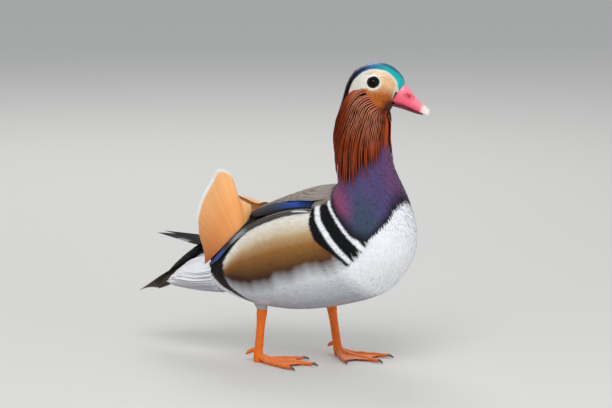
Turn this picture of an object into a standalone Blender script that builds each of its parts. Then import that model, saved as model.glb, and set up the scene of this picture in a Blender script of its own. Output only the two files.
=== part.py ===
"""Mandarin duck drake, standing, at life size: metres, +Z up, the bird faces +X and its right side is -Y.

The body, neck and head are one skin: a row of rings, each set by its back point, its belly point and
its half width, parted by thin cuts into torso, neck and head. Every feather is laid on that skin from
a root ring and angle to a tip ring and angle. The bird is built facing straight ahead, the left side is
the mirror of the right, and at the end the head is turned and the model is centred over its feet.
"""

import math
from collections import namedtuple

import bmesh
import bpy
import numpy as np

GAP = 0.0003  # kept between neighbouring solids
HEAD_TURN = math.radians(14)  # the head looks this far to the bird's left
TURN_STARTS_Z = 0.165
TURN_ENDS_Z = 0.238
NECK_AXIS_X = 0.0706

Station = namedtuple("Station", "back belly half_width low_wide fullness")

# Side outline with the body feathers on, from the vent to the base of the bill. back and belly are
# (x, z); low_wide above 0 moves the widest place towards the belly; fullness under 1 squares the ring.
STATIONS = {
    "vent": Station((-0.106, 0.093), (-0.109, 0.0745), 0.013, 0.0, 1.0),
    "rump": Station((-0.093, 0.105), (-0.0905, 0.0655), 0.029, 0.0, 0.95),
    "hips": Station((-0.066, 0.123), (-0.062, 0.056), 0.044, 0.0, 0.9),
    "loin": Station((-0.035, 0.140), (-0.030, 0.050), 0.054, 0.03, 0.88),
    "saddle": Station((0.0, 0.1545), (0.008, 0.0495), 0.060, 0.05, 0.88),
    "shoulders": Station((0.028, 0.163), (0.050, 0.057), 0.060, 0.05, 0.88),
    "keel": Station((0.041, 0.168), (0.088, 0.071), 0.056, 0.05, 0.9),
    "breast": Station((0.047, 0.176), (0.1108, 0.098), 0.048, 0.0, 0.95),
    "bosom": Station((0.0455, 0.186), (0.1160, 0.125), 0.0405, 0.0, 1.0),
    "collar": Station((0.0430, 0.198), (0.1095, 0.152), 0.0325, 0.0, 1.0),
    "neck": Station((0.0425, 0.212), (0.0960, 0.182), 0.026, 0.0, 1.0),
    "lower_throat": Station((0.0445, 0.226), (0.0897, 0.207), 0.0228, 0.0, 1.0),
    "throat": Station((0.0480, 0.2388), (0.0893, 0.225), 0.0212, 0.0, 1.0),
    "nape": Station((0.0510, 0.2505), (0.0885, 0.2362), 0.0204, 0.0, 1.0),
    "occiput": Station((0.0530, 0.2615), (0.0920, 0.2410), 0.020, 0.1, 1.0),
    "crown_back": Station((0.0592, 0.2740), (0.0935, 0.2432), 0.0198, 0.15, 1.0),
    "crown": Station((0.0722, 0.2818), (0.0940, 0.2441), 0.0188, 0.2, 1.0),
    "brow": Station((0.0875, 0.2820), (0.0942, 0.2447), 0.0165, 0.2, 0.95),
    "forehead": Station((0.0988, 0.2752), (0.0941, 0.2452), 0.0128, 0.15, 0.9),
    "bill_base": Station((0.1062, 0.2650), (0.0935, 0.2455), 0.0088, 0.05, 0.85),
}
NAMES = list(STATIONS)
TABLE = np.array([(*s.back, *s.belly, *s[2:]) for s in STATIONS.values()])
LAST = len(TABLE) - 1


def ring_at(name, beyond=0.0):
    """The ring number of a named station, or a share of the way on to the next one."""
    return NAMES.index(name) + beyond


def curve_through(rows, t):
    """A smooth curve through evenly numbered rows, read at t."""
    rows = np.asarray(rows, float)
    last = len(rows) - 1
    t = np.clip(np.asarray(t, float), 0, last)
    i = np.minimum(np.floor(t).astype(int), last - 1)
    f = (t - i)[..., None]
    a, b = rows[np.maximum(i - 1, 0)], rows[i]
    c, d = rows[i + 1], rows[np.minimum(i + 2, last)]
    return 0.5 * (2 * b + (c - a) * f + (2 * a - 5 * b + 4 * c - d) * f**2 + (3 * b - 3 * c + d - a) * f**3)


def skin(u, angle):
    """Points of the skin at ring u and angle: 0 is the back, a half turn the belly, above 0 the left side."""
    row = np.moveaxis(curve_through(TABLE, u), -1, 0)
    back_x, back_z, belly_x, belly_z, half_width, low_wide, fullness = row
    c, s = np.cos(angle), np.sin(angle)
    y = np.sign(s) * np.abs(s) ** fullness * half_width * (1 - low_wide * c)
    x = (back_x + belly_x) / 2 + (back_x - belly_x) / 2 * c
    z = (back_z + belly_z) / 2 + (back_z - belly_z) / 2 * c
    return np.stack([x, y, z], -1)


def unit(vectors):
    return vectors / np.linalg.norm(vectors, axis=-1, keepdims=True)


def skin_normal(u, angle):
    """Unit normals of the skin, pointing out."""
    step = 0.02
    u = np.clip(np.asarray(u, float), step, LAST - step)
    along = skin(u + step, angle) - skin(u - step, angle)
    around = skin(u, angle + step) - skin(u, angle - step)
    return unit(np.cross(along, around))


def off_skin(u, angle, height):
    """Points that stand off the skin by height."""
    return skin(u, angle) + skin_normal(u, angle) * np.asarray(height)[..., None]


# Closed forms, as (points, triangles)


def lofted(rings):
    """A closed form through rings of equally many points; a ring of one point is a tip."""
    points = [tuple(p) for ring in rings for p in ring]
    starts = np.cumsum([0] + [len(ring) for ring in rings])
    faces = []
    for k, (a, b) in enumerate(zip(rings, rings[1:])):
        at, to, n = starts[k], starts[k + 1], max(len(a), len(b))
        for i in range(n):
            j = (i + 1) % n
            if len(a) == 1:
                faces.append((at, to + j, to + i))
            elif len(b) == 1:
                faces.append((at + i, at + j, to))
            else:
                faces += [(at + i, at + j, to + j), (at + i, to + j, to + i)]
    for ring, start, first in ((rings[0], starts[0], True), (rings[-1], starts[-2], False)):
        if len(ring) > 1:
            middle = len(points)
            points.append(tuple(np.mean(ring, axis=0)))
            for i in range(len(ring)):
                j = (i + 1) % len(ring)
                faces.append((middle, start + j, start + i) if first else (middle, start + i, start + j))
    return points, faces


def vane(path, normals, half_widths, half_thicks):
    """A flat feather: four-sided rings along path, ridged above and below, that end in a point."""
    path, normals = np.asarray(path), unit(np.asarray(normals))
    across = unit(np.cross(normals, np.gradient(path, axis=0)))
    w, t = np.asarray(half_widths)[:, None], np.asarray(half_thicks)[:, None]
    left, top = path + across * w, path + normals * t
    right, under = path - across * w, path - normals * t
    count = len(path) - 1
    points = [tuple(p) for i in range(count) for p in (left[i], top[i], right[i], under[i])]
    points.append(tuple(path[-1]))
    faces = [(0, 1, 2), (0, 2, 3)]
    for i in range(count - 1):
        a, b, c, d = range(4 * i, 4 * i + 4)
        e, f, g, h = range(4 * i + 4, 4 * i + 8)
        faces += [(a, e, f), (a, f, b), (c, b, f), (c, f, g), (c, g, h), (c, h, d), (a, d, h), (a, h, e)]
    last, tip = 4 * count - 4, 4 * count
    faces += [(last + i, tip, last + (i + 1) % 4) for i in range(4)]
    return points, faces


def tube(path, radii_across, radii_up, sides=10):
    """A closed tube with oval rings; the first radii lie across the bird, roughly."""
    path = np.asarray(path, float)
    along = unit(np.gradient(path, axis=0))
    up = unit(np.cross(along, (0.0, 1.0, 0.0)))
    across = np.cross(up, along)
    turn = np.linspace(0, 2 * math.pi, sides, endpoint=False)
    rings = []
    for p, a, b, ra, rb in zip(path, across, up, radii_across, radii_up):
        if max(ra, rb) == 0:
            rings.append(np.array([p]))
        else:
            rings.append(p + np.outer(np.cos(turn) * ra, a) + np.outer(np.sin(turn) * rb, b))
    return lofted(rings)


def ball(centre, radius, rings=6, sides=12):
    """A closed ball of rings about the upright."""
    levels = np.linspace(0, math.pi, rings + 1)
    turn = np.linspace(0, 2 * math.pi, sides, endpoint=False)
    made = []
    for level in levels:
        flat, high = radius * math.sin(level), radius * math.cos(level)
        ring = np.stack([flat * np.cos(turn), flat * np.sin(turn), np.full(sides, high)], -1)
        made.append(np.asarray(centre) + (ring if flat > radius * 1e-6 else ring[:1]))
    return lofted(made)


def block(low, high):
    """A box from its lowest to its highest corner."""
    corners = [(x, y, z) for z in (low[2], high[2]) for y in (low[1], high[1]) for x in (low[0], high[0])]
    quads = [(0, 2, 3, 1), (4, 5, 7, 6), (0, 1, 5, 4), (2, 6, 7, 3), (0, 4, 6, 2), (1, 3, 7, 5)]
    return corners, quads


# Objects, joined and carved in one step each


def material(name, colour, roughness=0.6, metallic=0.0):
    """A material from an sRGB colour given as six hex digits."""
    made = bpy.data.materials.new(name)
    made.use_nodes = True
    channels = [int(colour[i : i + 2], 16) / 255 for i in (0, 2, 4)]
    linear = [c / 12.92 if c < 0.04045 else ((c + 0.055) / 1.055) ** 2.4 for c in channels]
    shader = made.node_tree.nodes["Principled BSDF"]
    shader.inputs["Base Color"].default_value = (*linear, 1)
    shader.inputs["Roughness"].default_value = roughness
    shader.inputs["Metallic"].default_value = metallic
    made.diffuse_color = (*linear, 1)
    return made


def plain_object(name, form, collection):
    """A mesh object of one closed form, with its faces turned out."""
    mesh = bpy.data.meshes.new(name)
    mesh.from_pydata([tuple(map(float, p)) for p in form[0]], [], [tuple(map(int, f)) for f in form[1]])
    work = bmesh.new()
    work.from_mesh(mesh)
    bmesh.ops.recalc_face_normals(work, faces=work.faces)
    work.to_mesh(mesh)
    work.free()
    obj = bpy.data.objects.new(name, mesh)
    collection.objects.link(obj)
    return obj


def combine(obj, forms, operation):
    """Applies one Boolean of obj with closed forms, and removes them."""
    if not forms:
        return
    helpers = bpy.data.collections.new("helpers")
    bpy.context.scene.collection.children.link(helpers)
    for i, form in enumerate(forms):
        plain_object(f"helper_{i}", form, helpers)
    step = obj.modifiers.new(operation, "BOOLEAN")
    step.operation = operation
    step.operand_type = "COLLECTION"
    step.collection = helpers
    step.solver = "MANIFOLD"
    bpy.context.view_layer.update()
    made = bpy.data.meshes.new_from_object(obj.evaluated_get(bpy.context.evaluated_depsgraph_get()))
    obj.modifiers.clear()
    old, obj.data = obj.data, made
    bpy.data.meshes.remove(old)
    for helper in list(helpers.objects):
        bpy.data.meshes.remove(helper.data)
    bpy.data.collections.remove(helpers)


def keep_largest_surface(obj):
    """Drops every closed surface but the one that spans the most."""
    work = bmesh.new()
    work.from_mesh(obj.data)
    bmesh.ops.triangulate(work, faces=work.faces)
    left, groups = set(work.faces), []
    while left:
        stack, group = [left.pop()], []
        while stack:
            face = stack.pop()
            group.append(face)
            for other in {f for edge in face.edges for f in edge.link_faces} & left:
                left.remove(other)
                stack.append(other)
        groups.append(group)
    groups.sort(key=lambda group: sum(face.calc_area() for face in group))
    bmesh.ops.delete(work, geom=[face for group in groups[:-1] for face in group], context="FACES")
    work.to_mesh(obj.data)
    work.free()


SHARP = math.radians(50)  # edges that bend more than this are shaded sharp


def node(name, forms, look, carved_by=()):
    """One named solid: the first form joined with the others, then carved, down to its largest surface."""
    obj = plain_object(name, forms[0], bpy.context.scene.collection)
    combine(obj, list(forms[1:]), "UNION")
    combine(obj, list(carved_by), "DIFFERENCE")
    keep_largest_surface(obj)
    obj.data.materials.clear()
    obj.data.materials.append(look)
    obj.data.shade_smooth()
    obj.data.set_sharp_from_angle(angle=SHARP)
    return obj


def mirrored(obj, name):
    """The same solid on the bird's other side."""
    mesh = obj.data.copy()
    work = bmesh.new()
    work.from_mesh(mesh)
    for v in work.verts:
        v.co.y = -v.co.y
    bmesh.ops.reverse_faces(work, faces=work.faces)
    work.to_mesh(mesh)
    work.free()
    twin = bpy.data.objects.new(name, mesh)
    bpy.context.scene.collection.objects.link(twin)
    return twin


def pair(name, forms, look, carved_by=()):
    """A right solid and its mirror image on the left."""
    right = node(f"{name}_right", forms, look, carved_by)
    return right, mirrored(right, f"{name}_left")


# Torso, neck and head

SKIN_SIDES = 24
NECK_CUT = ring_at("collar", 0.6)
HEAD_CUT = ring_at("nape", 0.3)
RING_CUT = 0.014  # half of each thin cut, in ring numbers
TORSO_RINGS = np.linspace(0, NECK_CUT - RING_CUT, 17)
NECK_RINGS = np.linspace(NECK_CUT + RING_CUT, HEAD_CUT - RING_CUT, 6)
HEAD_RINGS = np.linspace(HEAD_CUT + RING_CUT, LAST, 12)
AROUND = np.linspace(0, 2 * math.pi, SKIN_SIDES, endpoint=False)


def skin_form(rings, height=0.0):
    """A closed length of the skin, grown by height."""
    return lofted([off_skin(np.full(SKIN_SIDES, u), AROUND, np.full(SKIN_SIDES, height)) for u in rings])


def skin_clearance():
    """The whole skin, grown by the gap: it carves whatever lies on the bird."""
    rings = np.concatenate([TORSO_RINGS, NECK_RINGS, HEAD_RINGS])
    return skin_form(rings, GAP * 1.15)


EYE_RING = ring_at("crown_back", 0.88)
EYE_ANGLE = math.radians(-76)
EYE_RADIUS = 0.0060
EYE_DEPTH = 0.0035  # centre of the eyeball below the skin
LID_RADIUS = 0.0053
LID_THICK = 0.0010
LID_FLATTEN = 0.9
LID_RISE = 0.0001  # of the rim's middle over the skin


def eye_frame():
    """Where the right eyeball's centre lies, and the way it looks, forward and up on the face."""
    spot = skin(EYE_RING, EYE_ANGLE)
    look = skin_normal(EYE_RING, EYE_ANGLE)
    forward = unit(np.array([1.0, 0, -0.1]) - look * look[0])
    return spot, look, forward, np.cross(look, forward)


def lid_form(side):
    """The raised rim of the lids round one eye."""
    spot, look, forward, up = eye_frame()
    turn = np.linspace(0, 2 * math.pi, 12, endpoint=False)
    small = np.linspace(0, 2 * math.pi, 4, endpoint=False)
    points, faces = [], []
    for t in turn:
        way = forward * math.cos(t) + up * math.sin(t) * LID_FLATTEN
        centre = spot + way * LID_RADIUS + look * LID_RISE
        for s in small:
            points.append(centre + unit(way) * math.cos(s) * LID_THICK + look * math.sin(s) * LID_THICK)
    n, m = len(turn), len(small)
    for i in range(n):
        for j in range(m):
            a, b = i * m + j, i * m + (j + 1) % m
            c, d = (i + 1) % n * m + (j + 1) % m, (i + 1) % n * m + j
            faces += [(a, b, c), (a, c, d)]
    return [(p[0], p[1] * side, p[2]) for p in points], faces


def build_body():
    cream = material("white_belly", "E4E4E8", 0.75)
    purple = material("purple_neck", "5A3C58", 0.55)
    face = material("face", "E6A86A", 0.7)
    node("torso", [skin_form(TORSO_RINGS)], cream)
    node("neck", [skin_form(NECK_RINGS)], purple)
    spot, look, _, _ = eye_frame()
    centre = spot - look * EYE_DEPTH
    sockets = [ball((centre[0], centre[1] * s, centre[2]), EYE_RADIUS + GAP) for s in (1, -1)]
    node("head", [skin_form(HEAD_RINGS), lid_form(1), lid_form(-1)], face, sockets)
    dark_eye = material("dark_eye", "120C0A", 0.08)
    pair("eye", [ball(centre, EYE_RADIUS)], dark_eye)


# Bill: upper and lower halves from base to tip. Each row is a top point (x, z), an under point and a
# half width.

BILL_UPPER = (
    ((0.1085, 0.2630), (0.0955, 0.2470), 0.0080),
    ((0.1112, 0.2573), (0.1038, 0.2448), 0.0073),
    ((0.1155, 0.2518), (0.1105, 0.2424), 0.0064),
    ((0.1205, 0.2470), (0.1175, 0.2396), 0.0056),
    ((0.1255, 0.2434), (0.1238, 0.2372), 0.0046),
    ((0.1284, 0.2398), (0.1268, 0.2358), 0.0028),
)
BILL_LOWER = (
    ((0.0950, 0.2464), (0.0945, 0.2434), 0.0062),
    ((0.1035, 0.2442), (0.1025, 0.2414), 0.0058),
    ((0.1105, 0.2418), (0.1095, 0.2392), 0.0050),
    ((0.1173, 0.2390), (0.1168, 0.2370), 0.0040),
    ((0.1212, 0.2375), (0.1210, 0.2363), 0.0022),
)
BILL_RINGS = 9
BILL_SIDES = 12
BILL_FLATNESS = 0.22  # height of a half's flat face over that of its arched face
BILL_SQUARENESS = 0.75  # power that fills the corners of a ring
BILL_TIP = np.array([0.0010, 0, -0.0008])  # from the middle of the last ring
NOSTRIL_CENTRE = np.array([0.1098, 0.0068, 0.2535])
NOSTRIL_RADII = np.array([0.0024, 0.0025, 0.0013])


def bill_half(rows, arched):
    """A half of the bill: arched above and flat below, or the other way up."""
    flat = np.array([(*top, *under, w) for top, under, w in rows])
    rings = []
    turn = np.linspace(0, 2 * math.pi, BILL_SIDES, endpoint=False)
    for t in np.linspace(0, len(rows) - 1, BILL_RINGS):
        top_x, top_z, under_x, under_z, w = curve_through(flat, t)
        c = np.cos(turn)
        shape = np.where(c * arched > 0, c, BILL_FLATNESS * c)
        share = (shape + (BILL_FLATNESS if arched > 0 else 1)) / (1 + BILL_FLATNESS)
        y = w * np.sign(np.sin(turn)) * np.abs(np.sin(turn)) ** BILL_SQUARENESS
        x, z = under_x + (top_x - under_x) * share, under_z + (top_z - under_z) * share
        rings.append(np.stack([x, y, z], -1))
    return lofted([*rings, (rings[-1].mean(axis=0) + BILL_TIP)[None]])


HEAD_WALL = 0.03  # half size of the block that trims the bill where the head begins


def build_bill():
    red = material("red_bill", "D8304C", 0.35)
    back, belly = (np.array(p) for p in STATIONS["bill_base"][:2])
    along = unit(back - belly)
    forward = np.array([along[1], -along[0]])
    wall = []
    for y in (-HEAD_WALL, HEAD_WALL):
        for base in (belly - along * HEAD_WALL, back + along * HEAD_WALL):
            for reach in (-HEAD_WALL, GAP * 1.2):
                p = base + forward * reach
                wall.append((p[0], y, p[1]))
    head_side = (wall, [(0, 1, 3, 2), (4, 6, 7, 5), (0, 4, 5, 1), (2, 3, 7, 6), (0, 2, 6, 4), (1, 5, 7, 3)])
    pits = []
    for side in (-1, 1):
        points, faces = ball((0, 0, 0), 1.0, 6, 8)
        pits.append(([NOSTRIL_CENTRE * (1, side, 1) + np.array(p) * NOSTRIL_RADII for p in points], faces))
    node("bill_upper", [bill_half(BILL_UPPER, 1)], red, [head_side, *pits])
    node("bill_lower", [bill_half(BILL_LOWER, -1)], material("dark_bill", "8C2A34", 0.4), [head_side])


# Feathers laid on the skin

VANE_HALF_THICK = 0.0005
ROLL = math.tan(math.radians(4))
BED_LOW = 0.0008  # the underside of a bed of feather roots stands this far off the skin
BED_RIM = 0.0013  # height of the bed's top at its edge

# One row of a coat: rings and angles of the roots and tips from the first feather to the last, in degrees
# from the back, and the heights over the skin from root to tip, times a share that may vary along the row.
Row = namedtuple("Row", "count root_rings root_angles tip_rings tip_angles lifts shares half_width")


def along_row(values, count):
    """Values read smoothly at evenly spaced places."""
    rows = np.asarray(values, float)[:, None]
    return curve_through(rows, np.linspace(0, len(rows) - 1, count))[:, 0]


def feather_widths(half_width, steps, root_share=0.6, tip_length=0.4, tip_power=0.6):
    """Half widths of a vane: narrower at the root, widest past the middle, drawn in to its tip."""
    t = np.linspace(0, 1, steps)
    shape = root_share + (1 - root_share) * np.sin(math.pi / 2 * np.minimum(t / 0.6, 1))
    return half_width * shape * np.maximum(np.clip((1 - t) / tip_length, 0, 1) ** tip_power, 0.02)


def feather(root, tip, lifts, half_width, steps=6, **shape):
    """A feather from root to tip, each (ring, angle), at the heights lifts over the skin.

    It is rolled a little about its shaft, so that it lies over its neighbour like a tile.
    """
    t = np.linspace(0, 1, steps)
    u = root[0] + (tip[0] - root[0]) * t
    angle = np.radians(root[1] + (tip[1] - root[1]) * t)
    path = off_skin(u, angle, along_row(lifts, steps))
    normals = skin_normal(u, angle)
    normals = normals + np.cross(normals, unit(np.gradient(path, axis=0))) * ROLL
    thicks = VANE_HALF_THICK * np.linspace(1.0, 0.8, steps)
    return vane(path, normals, feather_widths(half_width, steps, **shape), thicks)


def feather_row(row, side=1, steps=6, **shape):
    """The feathers of one row: side -1 lays them on the bird's right."""
    places = [along_row(v, row.count) for v in row[1:5]]
    shares = along_row(row.shares, row.count)
    return [
        feather((u, a * side), (v, b * side), np.multiply(row.lifts, share), row.half_width, steps, **shape)
        for u, a, v, b, share in zip(*places, shares)
    ]


def sheet(outer, inner):
    """A closed plate between two grids of points, split into the same triangles on both faces."""
    columns, rows = outer.shape[:2]
    n = columns * rows
    faces = []
    for i in range(columns - 1):
        for j in range(rows - 1):
            p, q = i * rows + j, (i + 1) * rows + j
            faces += [(p, p + 1, q + 1), (p, q + 1, q)]
            faces += [(n + p, n + q + 1, n + p + 1), (n + p, n + q, n + q + 1)]
    loop = [i * rows for i in range(columns)] + [(columns - 1) * rows + j for j in range(1, rows)]
    loop += [i * rows + rows - 1 for i in range(columns - 2, -1, -1)] + list(range(rows - 2, 0, -1))
    for p, q in zip(loop, loop[1:] + loop[:1]):
        faces += [(p, n + p, n + q), (p, n + q, q)]
    return [*outer.reshape(-1, 3), *inner.reshape(-1, 3)], faces


def bed(low_rings, high_rings, angles, thick, columns=6, rows=6):
    """A thin bed along the skin that feather roots sink into, between two lines of rings."""
    share = np.linspace(0, 1, columns)[:, None]
    u = along_row(low_rings, rows) * (1 - share) + along_row(high_rings, rows) * share
    angle = np.broadcast_to(np.radians(np.linspace(*angles, rows)), u.shape)
    crowned = np.outer(np.sin(np.linspace(0, math.pi, columns)), np.sin(np.linspace(0, math.pi, rows)))
    top = off_skin(u, angle, BED_RIM + (thick - BED_RIM) * np.sqrt(np.maximum(crowned, 0)))
    return sheet(top, off_skin(u, angle, np.full(u.shape, BED_LOW)))


# Crest: long plumes from the crown down the back of the neck, in three tiers

CREST_ROWS = (
    Row(4, (13.6,), (-22, 22), (8.5, 8.2, 8.5), (-15, 15), (0.0011, 0.0018, 0.0022), (1,), 0.0026),
    Row(4, (14.6,), (-23, 23), (9.2, 8.8, 9.2), (-15, 15), (0.0011, 0.0032, 0.0042), (1,), 0.0026),
    Row(4, (15.6,), (-23, 23), (10.4, 10.0, 10.4), (-15, 15), (0.0011, 0.0042, 0.0060), (1,), 0.0026),
)
CREST_BED = ((13.2,), (15.9, 16.1, 15.9), (-25, 25), 0.0016)


def build_crest(clearance):
    green = material("green_crown", "1E5A5E", 0.35, 0.3)
    forms = [bed(*CREST_BED, 8, 4)]
    for row in CREST_ROWS:
        forms += feather_row(row, steps=6, root_share=0.8, tip_length=0.3)
    node("crest", forms, green, [clearance])


# Ruff: pointed hackles that spread from under the cheek and hang over the side of the neck, in four tiers

RUFF_ROWS = (
    Row(
        *(7, (10.0, 10.7, 11.2, 11.6, 11.9), (32, 144), (8.1, 7.9, 9.0, 10.1, 10.8), (30, 146)),
        *((0.0012, 0.0018), (1.5, 1.0, 0.9), 0.0050),
    ),
    Row(
        *(6, (11.3, 11.9, 12.3, 12.5, 12.6), (40, 148), (8.9, 8.6, 9.7, 10.6, 11.2), (32, 149)),
        *((0.0012, 0.0038), (1.6, 1.1, 0.9), 0.0046),
    ),
    Row(
        *(6, (12.4, 13.0, 13.3, 13.2, 13.0), (46, 142), (10.1, 9.9, 10.7, 11.3, 11.6), (33, 144)),
        *((0.0012, 0.0048), (1.6, 1.1, 0.9), 0.0042),
    ),
    Row(
        *(5, (13.4, 14.0, 14.2, 13.8, 13.5), (56, 144), (11.3, 11.2, 11.7, 12.1, 12.2), (38, 147)),
        *((0.0012, 0.0052), (1.5, 1.0, 0.8), 0.0040),
    ),
)
RUFF_BED = ((9.8, 10.4, 11.0, 11.4, 11.8), (13.6, 14.2, 14.4, 14.0, 13.6), (-30, -156), 0.0017)
THROAT_LOCK = ((12.6, 164), (9.9, 165), (0.0012, 0.0016), 0.0024)  # the long lock beside the throat's front


def build_ruff(clearance):
    rust = material("rust_ruff", "A8481C", 0.6)
    forms = [bed(*RUFF_BED, 6, 8)]
    for row in RUFF_ROWS:
        forms += feather_row(row, -1, 5, root_share=0.6, tip_length=0.5, tip_power=0.8)
    (root_ring, root_angle), (tip_ring, tip_angle), lifts, half_width = THROAT_LOCK
    forms.append(feather((root_ring, -root_angle), (tip_ring, -tip_angle), lifts, half_width, 5))
    return pair("ruff", forms, rust, [clearance])


# Folded wing: shoulder feathers over blue tertials, the edge of the secondaries, and the long primaries

SCAPULAR_ROWS = (
    Row(3, (4.3,), (9, 26), (2.95,), (8, 20), (0.0013, 0.0034), (1,), 0.0050),
    Row(4, (5.05,), (10, 35), (3.65,), (9, 28), (0.0012, 0.0042), (1,), 0.0050),
    Row(4, (5.8,), (11, 39), (4.4,), (9, 35), (0.0013, 0.0050), (1,), 0.0054),
)
TERTIAL_ROW = Row(4, (5.0,), (30, 45), (2.9, 2.92, 3.0), (14, 39), (0.0013, 0.0028, 0.0019), (1,), 0.0050)
WING_EDGE = ((5.2, 50), (4.7, 46), (4.0, 44), (3.4, 45), (2.9, 49), (2.5, 60), (2.1, 75), (1.7, 87))
EDGE_HALF_WIDTH = 0.0034
EDGE_SPANS = ((0.1, 3.3), (1.6, 5.0), (3.4, 6.8))  # first and last place on that line of each secondary
EDGE_LIFTS = (0.0011, 0.0024)
PRIMARY_TIPS = (
    (-0.1515, -0.0060, 0.1088),
    (-0.1430, -0.0080, 0.1078),
    (-0.1300, -0.0104, 0.1060),
    (-0.1190, -0.0126, 0.1044),
)
PRIMARY_RINGS = (3.7, 0.8)  # at the root and where it leaves the back
PRIMARY_ANGLES = ((8, 7), (12.5, 9), (17, 12), (21.5, 16))
PRIMARY_LIFTS = ((0.0013, 0.0060), (0.0013, 0.0046), (0.0013, 0.0032), (0.0013, 0.0018))
PRIMARY_HALF_THICK = 0.0004
PRIMARY_HALF_WIDTH = 0.0044
PRIMARY_FACE = (-0.15, -0.8, 0.6)  # behind the body the vanes stand on edge
WING_BED = ((3.4,), (6.0,), (-5, -46), 0.0017)


def secondaries():
    """Edges of the secondaries, one behind the other along the lower rim of the wing."""
    line, steps = np.array(WING_EDGE, float), 5
    forms = []
    for span in EDGE_SPANS:
        row = curve_through(line, np.linspace(*span, steps))
        u, angle = row[:, 0], np.radians(-row[:, 1])
        path = off_skin(u, angle, np.linspace(*EDGE_LIFTS, steps))
        widths = feather_widths(EDGE_HALF_WIDTH, steps)
        forms.append(vane(path, skin_normal(u, angle), widths, np.full(steps, VANE_HALF_THICK)))
    return forms


def primaries():
    """Long flight feathers over the rump, their tips in steps behind it."""
    forms = []
    on_back, behind = 4, (0.5, 1.0)
    for tip, angles, lifts in zip(PRIMARY_TIPS, PRIMARY_ANGLES, PRIMARY_LIFTS):
        u = np.linspace(*PRIMARY_RINGS, on_back)
        angle = np.radians(-np.linspace(*angles, on_back))
        path = off_skin(u, angle, np.linspace(*lifts, on_back))
        path = np.concatenate([path, path[-1] + (np.array(tip) - path[-1]) * np.array(behind)[:, None]])
        normals = np.concatenate([skin_normal(u, angle), np.tile(PRIMARY_FACE, (len(behind), 1))])
        steps = len(path)
        widths = feather_widths(PRIMARY_HALF_WIDTH, steps, root_share=0.35, tip_length=0.5, tip_power=0.7)
        forms.append(vane(path, normals, widths, np.full(steps, PRIMARY_HALF_THICK)))
    return forms


# Sail: the widened inner tertial that stands up over the rump. Each column of the right one runs from a
# place on the wing, as ring and angle, up to a point (x, z) of its free edge.

SAIL = (
    ((2.86, 25), (-0.0400, 0.1462)),
    ((2.85, 30), (-0.0436, 0.1490)),
    ((2.82, 35), (-0.0494, 0.1540)),
    ((2.78, 39), (-0.0580, 0.1745)),
    ((2.72, 43), (-0.0700, 0.1790)),
    ((2.60, 48), (-0.0766, 0.1684)),
    ((2.45, 54), (-0.0848, 0.1520)),
    ((2.25, 61), (-0.0887, 0.1352)),
    ((2.00, 69), (-0.0868, 0.1215)),
    ((1.65, 79), (-0.0836, 0.1070)),
    ((1.35, 88), (-0.0786, 0.0915)),
)
SAIL_BULGE = 0.0040
SAIL_LEAN = 0.14  # the top leans in by this share of its height
LEFT_SAIL_RAKE = math.radians(50)  # the left sail lies this much further back
SAIL_FOOT_LIFT = 0.0012
SAIL_LEAST_RISE = 0.0015


def sail_form(rake=0.0, grow=0.0, columns=13, rows=5):
    """The sail as a curved plate from its quill line up to its free edge."""
    line = curve_through([(*foot, *top) for foot, top in SAIL], np.linspace(0, len(SAIL) - 1, columns))
    u, angle = line[:, 0], np.radians(-line[:, 1])
    foot = off_skin(u, angle, np.full(columns, SAIL_FOOT_LIFT - grow))
    x, z = line[:, 2] - foot[:, 0], np.maximum(line[:, 3] - foot[:, 2], SAIL_LEAST_RISE)
    rise_x, rise_z = x * math.cos(rake) - z * math.sin(rake), x * math.sin(rake) + z * math.cos(rake)
    rise = np.stack([rise_x, SAIL_LEAN * rise_z, rise_z], -1)
    out = unit(np.cross(np.gradient(foot, axis=0), rise))
    out *= np.sign(-out[:, 1:2])
    v = np.linspace(0, 1, rows)
    swell = SAIL_BULGE * np.outer(rise_z / rise_z.max(), np.sin(math.pi * v))
    grid = foot[:, None] + rise[:, None] * v[:, None] + out[:, None] * swell[..., None]
    thick = out[:, None] * (VANE_HALF_THICK + grow)
    return sheet(grid + thick, grid - thick)


def other_side(form):
    """A form mirrored to the bird's other side."""
    return [(p[0], -p[1], p[2]) for p in form[0]], [tuple(reversed(f)) for f in form[1]]


def build_wings(clearance):
    brown = material("brown_wing", "6E5E50", 0.6)
    orange = material("orange_sail", "F08A3C", 0.6)
    forms = [bed(*WING_BED, 5, 4), *feather_row(TERTIAL_ROW, -1, 6), *secondaries(), *primaries()]
    for row in SCAPULAR_ROWS:
        forms += feather_row(row, -1, 5)
    node("wing_right", forms, brown, [clearance, sail_form(grow=GAP)])
    left_forms, left_sail = [other_side(f) for f in forms], other_side(sail_form(LEFT_SAIL_RAKE, GAP))
    node("wing_left", left_forms, brown, [clearance, left_sail])
    node("sail_right", [sail_form()], orange, [clearance])
    node("sail_left", [other_side(sail_form(LEFT_SAIL_RAKE))], orange, [clearance])


# Tail: steering feathers fanned behind the vent, with coverts above and below

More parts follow.
